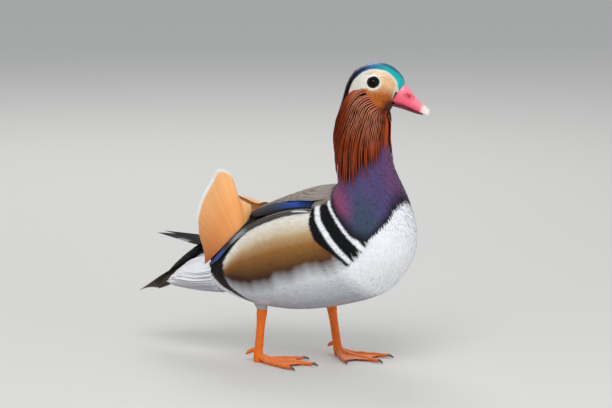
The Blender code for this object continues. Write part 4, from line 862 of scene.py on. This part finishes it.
for side, side_name in ((-1, "right"), (1, "left")):
    wing = ("wing_feathers", f"wing_{side_name}")
    tier, place = tiers(SCAPULAR_TIERS, SCAPULAR_ACROSS, (0.3, 0.15))
    root_side, tip_side = np.interp(tier, *SCAPULAR_LOW_ROOTS), np.interp(tier, *SCAPULAR_LOW_TIPS)
    root = (grown(SCAPULAR_ROOT_RING, tier), (2 + (root_side - 2) * place) * side)
    tip_ring = grown(SCAPULAR_TIP_RING, tier) + rng.uniform(-0.1, 0.1, tier.size)
    tip = (tip_ring, (1 + (tip_side - 1) * place) * side)
    lifts = (0.0, grown(SCAPULAR_MIDDLE_LIFT, tier), grown(SCAPULAR_TIP_LIFT, tier))
    path, normal, rings, angles = combed(root, tip, lifts, WING_STEPS)
    tone = MANTLE * rng.uniform(0.85, 1.1, (tier.size, 1, 1))
    tone = tone * np.interp(rings, (2.9, 4.6), (0.7, 1.0))[..., None]
    laid(
        f"scapulars_{side_name}", path, leaned(path, normal, side), SCAPULAR_CUT,
        tones(PLATE, tone * 0.8, tone, tone * 1.1), (rings[:, 0], angles[:, 0]),
        (scapular_finish, *wing), *STIFF,
    )

    root_ring, root_side, tip_ring, tip_side = np.array(TERTIALS)
    root, tip = (root_ring, root_side * side), (tip_ring, tip_side * side)
    path, normal, rings, angles = combed(root, tip, TERTIAL_LIFTS, WING_STEPS)
    order = np.arange(len(root_ring))[:, None]
    blue = (GLOSS_BLACK, GLOSS_BLACK, TERTIAL_DEEP, TERTIAL_BLUE, TERTIAL_DEEP)
    blue = over(mixed(TERTIAL_STOPS, blue, rings), GLOSS_BLACK, past(order, 2.7, 0.6))
    blue = over(blue, SILVER, order == 4)
    blue_tones = (blue * 0.7, blue, over(blue, GLOSS_BLACK, 0.6 * (order < 4)))
    laid(
        f"tertials_{side_name}", path, leaned(path, normal, side), TERTIAL_CUT,
        tones(PLATE, *blue_tones), (rings[:, 0], angles[:, 0]), (blue_finish, *wing), *STIFF,
    )

    along_edge = np.linspace(*SECONDARY_ROOTS, SECONDARIES)[:, None]
    along_edge = along_edge + np.linspace(0, SECONDARY_LENGTH, WING_STEPS)
    rows = curve_through(WING_EDGE, along_edge)
    shift = np.linspace(*SECONDARY_SHIFT, SECONDARIES)[:, None] * np.linspace(1, 0.4, WING_STEPS)
    rings, angles = rows[..., 0], np.radians(rows[..., 1] + shift) * side
    lift = np.linspace(0.0006, 0.0024, WING_STEPS) + np.linspace(0.0012, 0.0, SECONDARIES)[:, None]
    brown = over(SECONDARY_BROWN, GLOSS_BLACK, past(along_edge, 4.6, 1.0) * 0.8)
    brown = over(brown, TERTIAL_BLUE, past(along_edge, 5.5, 0.4) * past(6.4, along_edge, 0.4))
    silver_edge = over(brown, SILVER, 0.12 + 0.7 * past(along_edge, 3.9, 0.4) * past(4.9, along_edge, 0.4))
    laid(
        f"secondaries_{side_name}", stood_off(rings, angles, lift), outward(rings, angles), SECONDARY_CUT,
        tones(PLATE, brown * 0.6, brown, silver_edge, (0.75, 1.0)), (rings[:, 0], angles[:, 0]),
        (wing_finish, *wing), *STIFF,
    )

    tips = curve_through(PRIMARY_TIPS, np.linspace(0, 3, PRIMARIES)) * (1, -side, 1)
    place, along = np.linspace(0, 1, PRIMARIES)[:, None], np.linspace(0, 1, STEPS_ON_BACK)
    rings = np.broadcast_to(grown(PRIMARY_RINGS, along), (PRIMARIES, STEPS_ON_BACK))
    angles = np.radians(grown(PRIMARY_ROOT_SIDE, place) - grown(PRIMARY_TURN, place) * along) * side
    over_back = stood_off(rings, angles, PRIMARY_ROOT_LIFT + grown(PRIMARY_LIFT, place) * along)
    share = np.linspace(0, 1, STEPS_BEHIND + 1)[1:, None]
    free = over_back[:, -1:] + (tips[:, None] - over_back[:, -1:]) * share
    path = np.concatenate([over_back, free], axis=1)
    flat = np.broadcast_to((-0.15, 0.8 * side, 0.6), free.shape)
    normal = np.concatenate([outward(rings, angles), flat], axis=1)
    to_tip, silvered = np.linspace(0, 1, STEPS_ON_BACK + STEPS_BEHIND), past(place, 0.66, 0.2)
    silver_tip = over(PRIMARY_DARK, SILVER, past(to_tip, 0.9, 0.08) * silvered)
    silver_edge = over(PRIMARY_DARK, SILVER, past(to_tip, 0.86, 0.1) * silvered)
    laid(
        f"primaries_{side_name}", path, normal, PRIMARY_CUT,
        tones(PLATE, PRIMARY_DARK * 1.6, silver_tip, silver_edge), (rings[:, 0], angles[:, 0]),
        (wing_finish, *wing), *STIFF,
    )


# Sails. The widened inner tertial of each wing stands up over the rump: one broad curved vane, orange, with
# its barbs running up from the quill line and a white rim round the peak and down behind it.

SAIL = (
    (2.86, 25, -0.0400, 0.1462),
    (2.85, 30, -0.0436, 0.1490),
    (2.82, 35, -0.0494, 0.1540),
    (2.78, 39, -0.0580, 0.1745),
    (2.72, 43, -0.0700, 0.1790),
    (2.60, 48, -0.0766, 0.1684),
    (2.45, 54, -0.0848, 0.1520),
    (2.25, 61, -0.0887, 0.1352),
    (2.00, 69, -0.0868, 0.1215),
    (1.65, 79, -0.0836, 0.1070),
    (1.35, 88, -0.0786, 0.0915),
)  # ring and degrees from the back at the foot, x and z at the top
SAIL_BULGE, SAIL_LEAN = 0.0040, 0.14
LEFT_SAIL_RAKE = math.radians(50)
SAIL_COLUMNS, SAIL_ROWS = 220, 40
SAIL_HALF_THICK = 0.00032
SAIL_FOOT_LIFT, SAIL_LEAST_RISE = 0.0010, 0.0015
BARB_RELIEF, BARB_FRAY = 0.00008, 0.006
SAIL_ORANGE, SAIL_PALE = linear("FAAA64"), linear("FCC890")
SAIL_RED, SAIL_WHITE = linear("A03A10"), linear("EEF2F2")
RIM_PLACES = (0.22, 0.30, 0.40, 0.52, 0.66, 0.76, 0.84)  # along the sail, from its front
RIM_WIDTHS = (0.0, 0.035, 0.06, 0.07, 0.09, 0.08, 0.0)  # of the white rim, as shares of the height
LEAST_RIM = 0.004
sail_finish = feather_material("sail_feather", 0.6, 0.1, 0.25, fleck=0.08)

for side, side_name, rake in ((-1, "right", 0.0), (1, "left", LEFT_SAIL_RAKE)):
    line = curve_through(SAIL, np.linspace(0, len(SAIL) - 1, SAIL_COLUMNS))
    foot = stood_off(line[:, 0], np.radians(line[:, 1]) * side, np.full(SAIL_COLUMNS, SAIL_FOOT_LIFT))
    x, z = line[:, 2] - foot[:, 0], np.maximum(line[:, 3] - foot[:, 2], SAIL_LEAST_RISE)
    rise_x, rise_z = x * math.cos(rake) - z * math.sin(rake), x * math.sin(rake) + z * math.cos(rake)
    rise = np.stack([rise_x, -side * SAIL_LEAN * rise_z, rise_z], -1)
    face = unit(np.cross(np.gradient(foot, axis=0), rise))
    face *= np.sign(side * face[:, 1:2])
    up = np.linspace(0, 1, SAIL_ROWS)
    grain = np.convolve(rng.standard_normal(SAIL_COLUMNS + 2), np.ones(3) / 3, "valid")
    grain = grain / np.abs(grain).max()
    swell = SAIL_BULGE * np.outer(rise_z / rise_z.max(), np.sin(math.pi * up))
    swell = swell + BARB_RELIEF * grain[:, None] * (up > 0.04)
    grid = foot[:, None] + rise[:, None] * (up[:, None] * (1 + BARB_FRAY * grain)[:, None, None])
    grid = grid + face[:, None] * swell[..., None]
    thick = face[:, None] * SAIL_HALF_THICK * (1.2 - 0.7 * up[:, None])
    column, row = np.meshgrid(np.arange(SAIL_COLUMNS - 1), np.arange(SAIL_ROWS - 1), indexing="ij")
    here, total = (column * SAIL_ROWS + row).ravel(), SAIL_COLUMNS * SAIL_ROWS
    beside = here + SAIL_ROWS
    outer = np.stack([here, here + 1, beside + 1, beside], -1)
    inner = total + np.stack([here, beside, beside + 1, here + 1], -1)
    number = np.arange(total).reshape(SAIL_COLUMNS, SAIL_ROWS)
    rim = np.concatenate([number[:, 0], number[-1, 1:], number[-2::-1, -1], number[0, -2:0:-1]])
    ahead = np.roll(rim, -1)
    edge = np.stack([rim, rim + total, ahead + total, ahead], -1)
    faces = [outer, inner, edge] if side > 0 else [outer[:, ::-1], inner[:, ::-1], edge[:, ::-1]]
    along, height = np.meshgrid(np.linspace(0, 1, SAIL_COLUMNS), up, indexing="ij")
    tone = over(SAIL_ORANGE, SAIL_RED, past(along, 0.74, 0.6) * (1 - 0.55 * height))
    tone = over(tone, SAIL_PALE, past(height, 0.75, 0.8) * past(0.7, along, 0.4) * 0.8)
    tone = over(tone, SAIL_PALE, past(0.16, along, 0.2) * 0.5)
    tone = tone * (1 + 0.07 * grain[:, None, None])
    rim_width = np.interp(along, RIM_PLACES, RIM_WIDTHS)
    tone = over(tone, SAIL_WHITE, past(height, 1 - rim_width, 0.04) * (rim_width > LEAST_RIM))
    vane = np.stack([height * 2, along * 7, height * 0], -1)
    uv = np.stack([0.1 + 0.3 * along + 0.225 * (1 + side), 0.2 + 0.1 * height], -1)
    sail = mesh_of(
        f"sail_{side_name}_vane", np.stack([grid + thick, grid - thick]), faces, np.stack([tone] * 2),
        np.stack([vane] * 2), np.stack([uv, uv + (0, 0.12)]),
    )
    keep(sail, sail_finish, "sail_feathers", f"sail_{side_name}")


# Tail. Sixteen dark brown steering feathers fanned like a low roof, short coverts over their roots, and the
# long soft white feathers under the tail.

TAIL_ROOT = np.array([-0.103, 0.0, 0.0895])
TAIL_DARK, TAIL_EDGE, UNDERTAIL_WHITE = linear("221D19"), linear("6A5C4A"), linear("F4F4F8")
STEERING_CUT, COVERT_CUT = (0.0058, 0.0004, 0.8, 0.36, 0.7), (0.0044, 0.0003, 0.7, 0.4, 0.6)
UNDERTAIL_CUT = (0.0040, 0.00010, 0.7, 0.5, 0.6)
TAIL_FEATHERS, TAIL_STEPS, COVERT_STEPS, UNDERTAIL_STEPS = 16, 16, 10, 9
TAIL_DIP = 28
STEERING_DROOP, COVERT_DROOP, UNDERTAIL_DROOP = 0.0048, 0.0034, 0.001
STEERING_LENGTH, TAIL_ROOF = (0.0800, -0.0350), (0.0030, -0.0085)  # in the middle, and more at the sides
TAIL_HALF_WIDTH, TAIL_SET_BACK = 0.0100, 0.004
COVERT_TIERS, COVERT_ACROSS, UNDERTAIL_TIERS, UNDERTAIL_ACROSS = 5, 9, 14, 34
COVERT_RING, COVERT_LIFT = (0.35, 0.95), (0.0002, 0.0008)
COVERT_LENGTH, COVERT_DIP = (0.038, -0.010), (30, -4)
UNDERTAIL_RING, UNDERTAIL_LENGTH, UNDERTAIL_DIP = (0.35, 1.35), (0.036, 0.010), (14, -16)
UNDERTAIL_LIFT = 0.0002
UPWARD = np.array((0, 0, 1.0))


def fanned(start, fan, dip, length, droop, tilt, steps):
    """Feathers that point back from start, turned out by fan, down by dip and rolled over by tilt."""
    fan, dip, tilt = (np.radians(np.broadcast_to(angle, len(start))) for angle in (fan, dip, tilt))
    way = np.stack([-np.cos(dip) * np.cos(fan), np.sin(fan), -np.sin(dip) * np.cos(fan)], -1)
    along = np.linspace(0, 1, steps)
    path = start[:, None] + way[:, None] * (along * np.asarray(length)[:, None])[..., None]
    path = path - UPWARD * (droop * along**2)[:, None]
    up = unit(np.cross(np.cross(way, UPWARD), way))
    up = up * np.cos(tilt)[:, None] + np.cross(up, way) * np.sin(tilt)[:, None]
    return path, up[:, None] + 0 * path


across = np.linspace(-1, 1, TAIL_FEATHERS)
back_way = np.array([-math.cos(math.radians(TAIL_DIP)), 0, -math.sin(math.radians(TAIL_DIP))])
roof = np.stack([0 * across, TAIL_HALF_WIDTH * across, grown(TAIL_ROOF, across**2)], -1)
start = TAIL_ROOT + back_way * TAIL_SET_BACK + roof
length = grown(STEERING_LENGTH, np.abs(across))
path, normal = fanned(start, 5 * across, TAIL_DIP, length, STEERING_DROOP, 50 * across, TAIL_STEPS)
dark = TAIL_DARK * rng.uniform(0.8, 1.25, (TAIL_FEATHERS, 1, 1))
laid(
    "steering_feathers", path, normal, STEERING_CUT,
    tones(PLATE, dark * 0.5, dark, over(dark, TAIL_EDGE, 0.5)), (0.3, across),
    (wing_finish, "tail_feathers", "tail"), *STIFF,
)

tier, place = tiers(COVERT_TIERS, COVERT_ACROSS, (0.2, 0.1))
across = place * 2 - 1
root = (grown(COVERT_RING, tier), np.radians(42 * across))
start, length = stood_off(*root, grown(COVERT_LIFT, tier)), grown(COVERT_LENGTH, tier)
dip = grown(COVERT_DIP, tier)
path, normal = fanned(start, 8 * across, dip, length, COVERT_DROOP, 35 * across, COVERT_STEPS)
dark = over(RUMP, TAIL_DARK, (1 - tier)[:, None])
laid(
    "tail_covert_vanes", path, normal, COVERT_CUT, tones(PLATE, dark, dark * 1.2, dark * 1.6), root,
    (wing_finish, "tail_feathers", "tail_coverts"), *STIFF,
)

tier, place = tiers(UNDERTAIL_TIERS, UNDERTAIL_ACROSS, (0.4, 0.3))
across = place * 2 - 1
outer = np.abs(across)
root = (grown(UNDERTAIL_RING, tier), np.radians(180 - 106 * across))
start = stood_off(*root, np.full(tier.size, UNDERTAIL_LIFT))
length = grown(UNDERTAIL_LENGTH, tier) * (1 - 0.10 * outer) * rng.uniform(0.85, 1.05, tier.size)
fan = 5 * across - 26 * across * outer + rng.normal(0, 1.0, tier.size)
dip = grown(UNDERTAIL_DIP, tier) + 18 * outer**2
path, normal = fanned(start, fan, dip, length, UNDERTAIL_DROOP, -80 * across, UNDERTAIL_STEPS)
white = UNDERTAIL_WHITE * rng.uniform(0.95, 1.04, (tier.size, 1, 1, 1))
look = (body_feather, "undertail_feathers", "undertail")
laid("undertail_vanes", path, -normal, UNDERTAIL_CUT, white, root, look, LENS)


# Eyes and lids. A dark glossy eyeball as big as life in each socket, and the thin, finely folded rim of the
# lids round it.

EYEBALL_RADIUS, EYEBALL_DEPTH = 0.0063, 0.0033
EYEBALL_RINGS, EYEBALL_SIDES = 39, 48
LID_RADIUS, LID_THICK, LID_FLATTEN = 0.0054, 0.00050, 0.9
LID_AROUND, LID_SIDES = 72, 10
LID_FOLDS, FOLD_DEPTH = 24, 0.12
PUPIL, IRIS, LID_GREY = linear("020203"), linear("0B0504"), linear("3E393B")


def horn_material(name, roughness, shine, coat, grain, fleck, relief):
    """Smooth horn, skin or eye, with a fine grain that sits in the piece itself."""
    finish = {
        "Roughness": roughness,
        "Specular IOR Level": shine,
        "Coat Weight": coat,
        "Coat Roughness": 0.15,
    }
    in_piece = ("ShaderNodeTexCoord", "Object")
    return grained(name, finish, in_piece, [grain] * 3, 4.0, fleck, relief, 0.0001)


eye_glass = horn_material("eye_dark_brown", 0.05, 0.12, 0.0, 1500, 0.10, 0.0)
lid_skin = horn_material("lid_skin", 0.6, 0.3, 0.0, 4000, 0.12, 0.3)

for side, side_name in ((-1, "right"), (1, "left")):
    flip = np.array([1, -side, 1])
    look = eye_look * flip
    forward = unit(np.array([1.0, 0, -0.1]) - look * look[0])
    up = np.cross(look, forward) * (-side)
    polar, turn = (grid[1:-1] for grid in tube_grid(EYEBALL_RINGS + 2, EYEBALL_SIDES, math.pi))
    spread = np.cos(polar)[..., None] * look + (np.sin(polar) * np.cos(turn))[..., None] * forward
    spread = spread + (np.sin(polar) * np.sin(turn))[..., None] * up
    ball = (eye_spot - eye_look * EYEBALL_DEPTH) * flip + EYEBALL_RADIUS * spread
    off_axis = np.degrees(polar)
    iris = over(PUPIL, IRIS, past(off_axis, 26, 4) * past(56, off_axis, 6))
    eyeball = mesh_of(f"eyeball_{side_name}", ball, tube_faces(EYEBALL_RINGS, EYEBALL_SIDES), iris)
    keep(eyeball, eye_glass, "eye", f"eye_{side_name}")

    around, small = np.meshgrid(full_turn(LID_AROUND), full_turn(LID_SIDES), indexing="ij")
    way = forward * np.cos(around)[..., None] + up * (np.sin(around) * LID_FLATTEN)[..., None]
    fold = 1 + FOLD_DEPTH * np.cos(around * LID_FOLDS)[..., None]
    roll = unit(way) * np.cos(small)[..., None] + look * np.sin(small)[..., None]
    rim = eye_spot * flip + way * LID_RADIUS + roll * LID_THICK * fold
    grey = over(LID_GREY, PUPIL, past(-np.cos(small), 0.2, 0.6))
    quads = np.roll(tube_quads(LID_AROUND, LID_SIDES, LID_AROUND * LID_SIDES)[:, ::-1], 1, axis=1)
    keep(mesh_of(f"lids_{side_name}", rim, [quads], grey), lid_skin, "face_feathers", "head")


# Bill. Smooth horn over bone, rose red with a pale nail at the tip and an oval nostril near its base, the
# nostril's hollow and the thin lower half painted dark as shade.

BILL_UPPER = (
    (0.1046, 0.2640, 0.0930, 0.2478, 0.0078),
    (0.1083, 0.2614, 0.0955, 0.2470, 0.0080),
    (0.1112, 0.2573, 0.1038, 0.2448, 0.0073),
    (0.1155, 0.2518, 0.1105, 0.2424, 0.0064),
    (0.1205, 0.2470, 0.1175, 0.2396, 0.0056),
    (0.1252, 0.2440, 0.1238, 0.2370, 0.0049),
    (0.1284, 0.2408, 0.1268, 0.2354, 0.0036),
)  # ridge x and z, lower edge x and z, half width
BILL_LOWER = (
    (0.0950, 0.2464, 0.0945, 0.2434, 0.0062),
    (0.1035, 0.2442, 0.1025, 0.2414, 0.0058),
    (0.1105, 0.2418, 0.1095, 0.2392, 0.0050),
    (0.1173, 0.2390, 0.1168, 0.2370, 0.0040),
    (0.1212, 0.2375, 0.1210, 0.2363, 0.0022),
)
BILL_FLATNESS, BILL_SQUARENESS = 0.22, 0.75
BILL_TIP = np.array([0.0010, 0, -0.0008])
BILL_RINGS, BILL_SIDES = 72, 64
BILL_END = 0.25  # of a row, over which the tip rounds off
NOSTRIL = np.array([0.1098, 0.0068, 0.2535])
NOSTRIL_LONG, NOSTRIL_HIGH, NOSTRIL_DEEP, NOSTRIL_RIM = 0.0026, 0.0013, 0.0013, 0.00030
BILL_PINK, BILL_RED = linear("FF90A4"), linear("E4244A")
# The second colour here is painted shade, for the hollow of the nostril and for the lower mandible under the
# upper one
BILL_NAIL, BILL_SHADE = linear("F0E2DC"), linear("701C2A")
bill_horn = horn_material("bill_horn", 0.34, 0.5, 0.3, 900, 0.10, 0.35)

for rows, arched, name, node_name in (
    (BILL_UPPER, True, "upper_mandible", "bill_upper"),
    (BILL_LOWER, False, "lower_mandible", "bill_lower"),
):
    along, turn = tube_grid(BILL_RINGS, BILL_SIDES, len(rows) - 1)
    top_x, top_z, under_x, under_z, half_width = np.moveaxis(curve_through(rows, along), -1, 0)
    cosine, sine = np.cos(turn), np.sin(turn)
    bow = np.where((cosine > 0) == arched, cosine, BILL_FLATNESS * cosine)
    share = (bow + (BILL_FLATNESS if arched else 1)) / (1 + BILL_FLATNESS)
    y = half_width * np.sign(sine) * np.abs(sine) ** BILL_SQUARENESS
    points = np.stack([under_x + (top_x - under_x) * share, y, under_z + (top_z - under_z) * share], -1)
    end_share = np.clip((along - (len(rows) - 1 - BILL_END)) / BILL_END, 0, 1)[..., None]
    middle = points.mean(axis=1, keepdims=True)
    points = middle + (points - middle) * np.sqrt(1 - 0.97 * end_share**2) + BILL_TIP * end_share
    tone = over(BILL_PINK, BILL_RED, past(-cosine, -0.5, 1.2) * past(5.2, along, 1.5) * 0.85)
    if arched:
        slope = unit(np.array([1.0, 0, -0.75]))
        outer = np.where(points[..., 1:2] > 0, 1, -1)
        near = points - NOSTRIL * (outer * (0, 1, 0) + (1, 0, 1))
        long_way, high_way = near @ slope, near @ np.array([-slope[2], 0, slope[0]])
        ellipse = np.sqrt((long_way / NOSTRIL_LONG) ** 2 + (high_way / NOSTRIL_HIGH) ** 2)
        swell = NOSTRIL_RIM * np.exp(-(((ellipse - 1.6) / 0.4) ** 2)) - NOSTRIL_DEEP * past(1.0, ellipse, 0.9)
        points[..., 1] += outer[..., 0] * swell
        tone = over(tone, BILL_NAIL, past(along, 4.45, 0.6))
        tone = over(tone, BILL_RED, past(2.2, ellipse, 1.0) * 0.7)
        # Painted shade in the hollow of the nostril
        tone = over(tone, BILL_SHADE, past(0.8, ellipse, 0.5) * 0.8)
    else:
        # Painted shade: the lower mandible, under the upper one, darkened nearly all over
        tone = over(tone, BILL_SHADE, 0.9)
    keep(mesh_of(name, points, tube_faces(BILL_RINGS, BILL_SIDES), tone), bill_horn, "bill", node_name)


# Legs and feet. Bare orange skin with scutes across the shank and toes and small scales over the webs, and
# short horny claws.

LEG_VOXEL, CLAW_VOXEL = 0.00040, 0.00018
LEG_SMOOTHING, CLAW_SMOOTHING = 4, 3
SCALE_SIZE = 0.0013  # across a small scale
SCALE_RELIEF = 0.00016
SHANK_PLATES, TOE_PLATES = np.array((0.55, 0.55, 1.0)), np.array((1.0, 0.5, 0.7))  # squeeze of the scales
ANKLE = (0.010, 0.022)  # heights between which toe scutes give way to shank scutes
# The third colour is a painted highlight, for the faces of the legs turned up to the light
LEG_ORANGE, LEG_GROOVE, LEG_HIGHLIGHT = linear("FF7C0C"), linear("C04C06"), linear("FFC080")
CLAW_HORN, CLAW_TIP = linear("86665C"), linear("3A2A28")
leg_skin = horn_material("leg_scales", 0.45, 0.3, 0.1, 1800, 0.10, 0.3)
claw_horn = horn_material("claw_horn", 0.4, 0.5, 0.2, 2500, 0.15, 0.2)


def remeshed(name, voxel, smoothing, *nodes):
    """One even, rounded mesh over the shapes of nodes, with its points and outward normals."""
    joined = bpy.data.meshes.new(name)
    work = bmesh.new()
    for node in nodes:
        work.from_mesh(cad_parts[node].data)
    work.to_mesh(joined)
    work.free()
    obj = in_scene(name, joined)
    remesh = obj.modifiers.new("even", "REMESH")
    remesh.mode = "VOXEL"
    remesh.voxel_size = voxel
    smooth = obj.modifiers.new("soft", "SMOOTH")
    smooth.factor = 0.5
    smooth.iterations = smoothing
    made = bpy.data.meshes.new_from_object(obj.evaluated_get(bpy.context.evaluated_depsgraph_get()))
    obj.modifiers.clear()
    obj.data = made
    made.name = name
    made.polygons.foreach_set("use_smooth", np.ones(len(made.polygons), bool))
    points, normals = np.empty((2, len(made.vertices), 3), np.float32)
    made.vertices.foreach_get("co", points.ravel())
    made.vertex_normals.foreach_get("vector", normals.ravel())
    return obj, points, normals


for side_name in ("right", "left"):
    bones = (f"shank_{side_name}", f"foot_{side_name}")
    leg, points, normals = remeshed(f"leg_skin_{side_name}", LEG_VOXEL, LEG_SMOOTHING, *bones)
    up_leg = np.clip((points[:, 2:3] - ANKLE[0]) / (ANKLE[1] - ANKLE[0]), 0, 1)
    squeezed = points * (TOE_PLATES + (SHANK_PLATES - TOE_PLATES) * up_leg)
    cell_of = {}
    for index in rng.permutation(len(points)):
        cell_of.setdefault(tuple((squeezed[index] / SCALE_SIZE).astype(int)), index)
    seeds = mathutils.kdtree.KDTree(len(cell_of))
    for index in cell_of.values():
        seeds.insert(squeezed[index], int(index))
    seeds.balance()
    gaps = np.array([[found[2] for found in seeds.find_n(point, 2)] for point in squeezed])
    groove = past(0.35, (gaps[:, 1] - gaps[:, 0]) / SCALE_SIZE, 0.4)
    points = points + normals * (SCALE_RELIEF * (0.4 - groove))[:, None]
    points[:, 2] = np.maximum(points[:, 2], 0)
    leg.data.vertices.foreach_set("co", points.astype(np.float32).ravel())
    leg.data.update()
    # Painted highlight: the orange skin lighter where it faces upward, towards the light
    tone = over(LEG_ORANGE, LEG_HIGHLIGHT, past(normals[:, 2], 0.5, 0.8) * 0.35)
    painted(leg.data, over(tone, LEG_GROOVE, groove * 0.55))
    keep(leg, leg_skin, "leg_skin", *bones)
    for toe in ("outer", "middle", "inner"):
        node = f"claw_{toe}_{side_name}"
        claw, points, normals = remeshed(f"horn_{toe}_{side_name}", CLAW_VOXEL, CLAW_SMOOTHING, node)
        to_tip = past(points[:, 0], points[:, 0].mean(), np.ptp(points[:, 0]))
        painted(claw.data, over(CLAW_HORN, CLAW_TIP, to_tip))
        keep(claw, claw_horn, "claw", node)


# Thighs. The upper legs lie within the body's own skin, and only their feathered lower ends show: short soft
# pale feathers that come down from the belly over the leg and end above the heel.

THIGHS = {
    "right": ((-0.0245, -0.0295, 0.0480), (-0.016, -0.028, 0.064)),
    "left": ((0.0175, 0.0295, 0.0480), (0.024, 0.028, 0.064)),
}  # the heel, and where the thigh goes into the belly
THIGH_RISE = np.array((0.0030, 0.0075))  # of its first two rings over the heel
THIGH_DEEP = (0.0050, 0.0078, 0.0145, 0.0205, 0.0200)
THIGH_WIDE = (0.0040, 0.0060, 0.0105, 0.0145, 0.0150)
THIGH_RINGS, THIGH_SIDES = 30, 48
THIGH_FEATHERS, THIGH_STEPS = 1100, 6
THIGH_COAT, THIGH_TIP_LIFT, THIGH_HANG = 0.0011, 0.0002, 0.004
THIGH_CUT = (0.0013, 0.00012, 0.6, 0.5)
THIGH_MAP_RING = 3.5  # where these feathers lie on the bake map
THIGH_WHITE, THIGH_GREY = linear("D8D5DA"), linear("B4ACB0")


def thigh_at(stops, ring, turn, inset):
    """Points of the surface round a thigh's stops, less the inset."""
    sizes = curve_through(np.stack([THIGH_DEEP, THIGH_WIDE], -1), ring) - np.asarray(inset)[..., None]
    reach = np.stack([np.cos(turn), np.sin(turn)], -1) * sizes
    return curve_through(stops, ring) + np.concatenate([reach, 0 * reach[..., :1]], axis=-1)


for side_name, (heel, top) in THIGHS.items():
    heel, top = np.array(heel), np.array(top)
    low, higher = heel + np.outer(THIGH_RISE, (0, 0, 1))
    stops = np.array([low, higher, heel + (top - heel) * 0.7, top, top + (top - heel) * 0.5])
    node = f"thigh_{side_name}"
    points = thigh_at(stops, *tube_grid(THIGH_RINGS, THIGH_SIDES, 4), THIGH_COAT)
    grey = np.broadcast_to(THIGH_GREY, points.shape)
    core = mesh_of(f"thigh_skin_{side_name}", points, tube_faces(THIGH_RINGS, THIGH_SIDES), grey)
    keep(core, body_feather, "body_feathers", node)

    root_ring = rng.uniform(0.7, 4, (THIGH_FEATHERS, 1))
    turn = rng.uniform(0, 2 * math.pi, (THIGH_FEATHERS, 1))
    along = np.linspace(0, 1, THIGH_STEPS)
    ring = np.maximum(root_ring - along, 0)
    inset = THIGH_COAT - (THIGH_COAT + THIGH_TIP_LIFT) * (1 - (1 - along) ** 2)
    path = thigh_at(stops, ring, turn, inset)
    path[..., 2] -= np.clip(1.0 - root_ring, 0, 1) * along * THIGH_HANG
    normal = np.stack([np.cos(turn), np.sin(turn), 0 * turn], -1)
    tone = over(THIGH_WHITE, THIGH_GREY, past(1.6, ring, 1.6))[:, :, None]
    tone = tone * rng.uniform(0.92, 1.06, (THIGH_FEATHERS, 1, 1, 1))
    laid(
        f"thigh_feathers_{side_name}", path, normal, THIGH_CUT, tone, (THIGH_MAP_RING, turn[:, 0]),
        (body_feather, "body_feathers", node), LENS,
    )
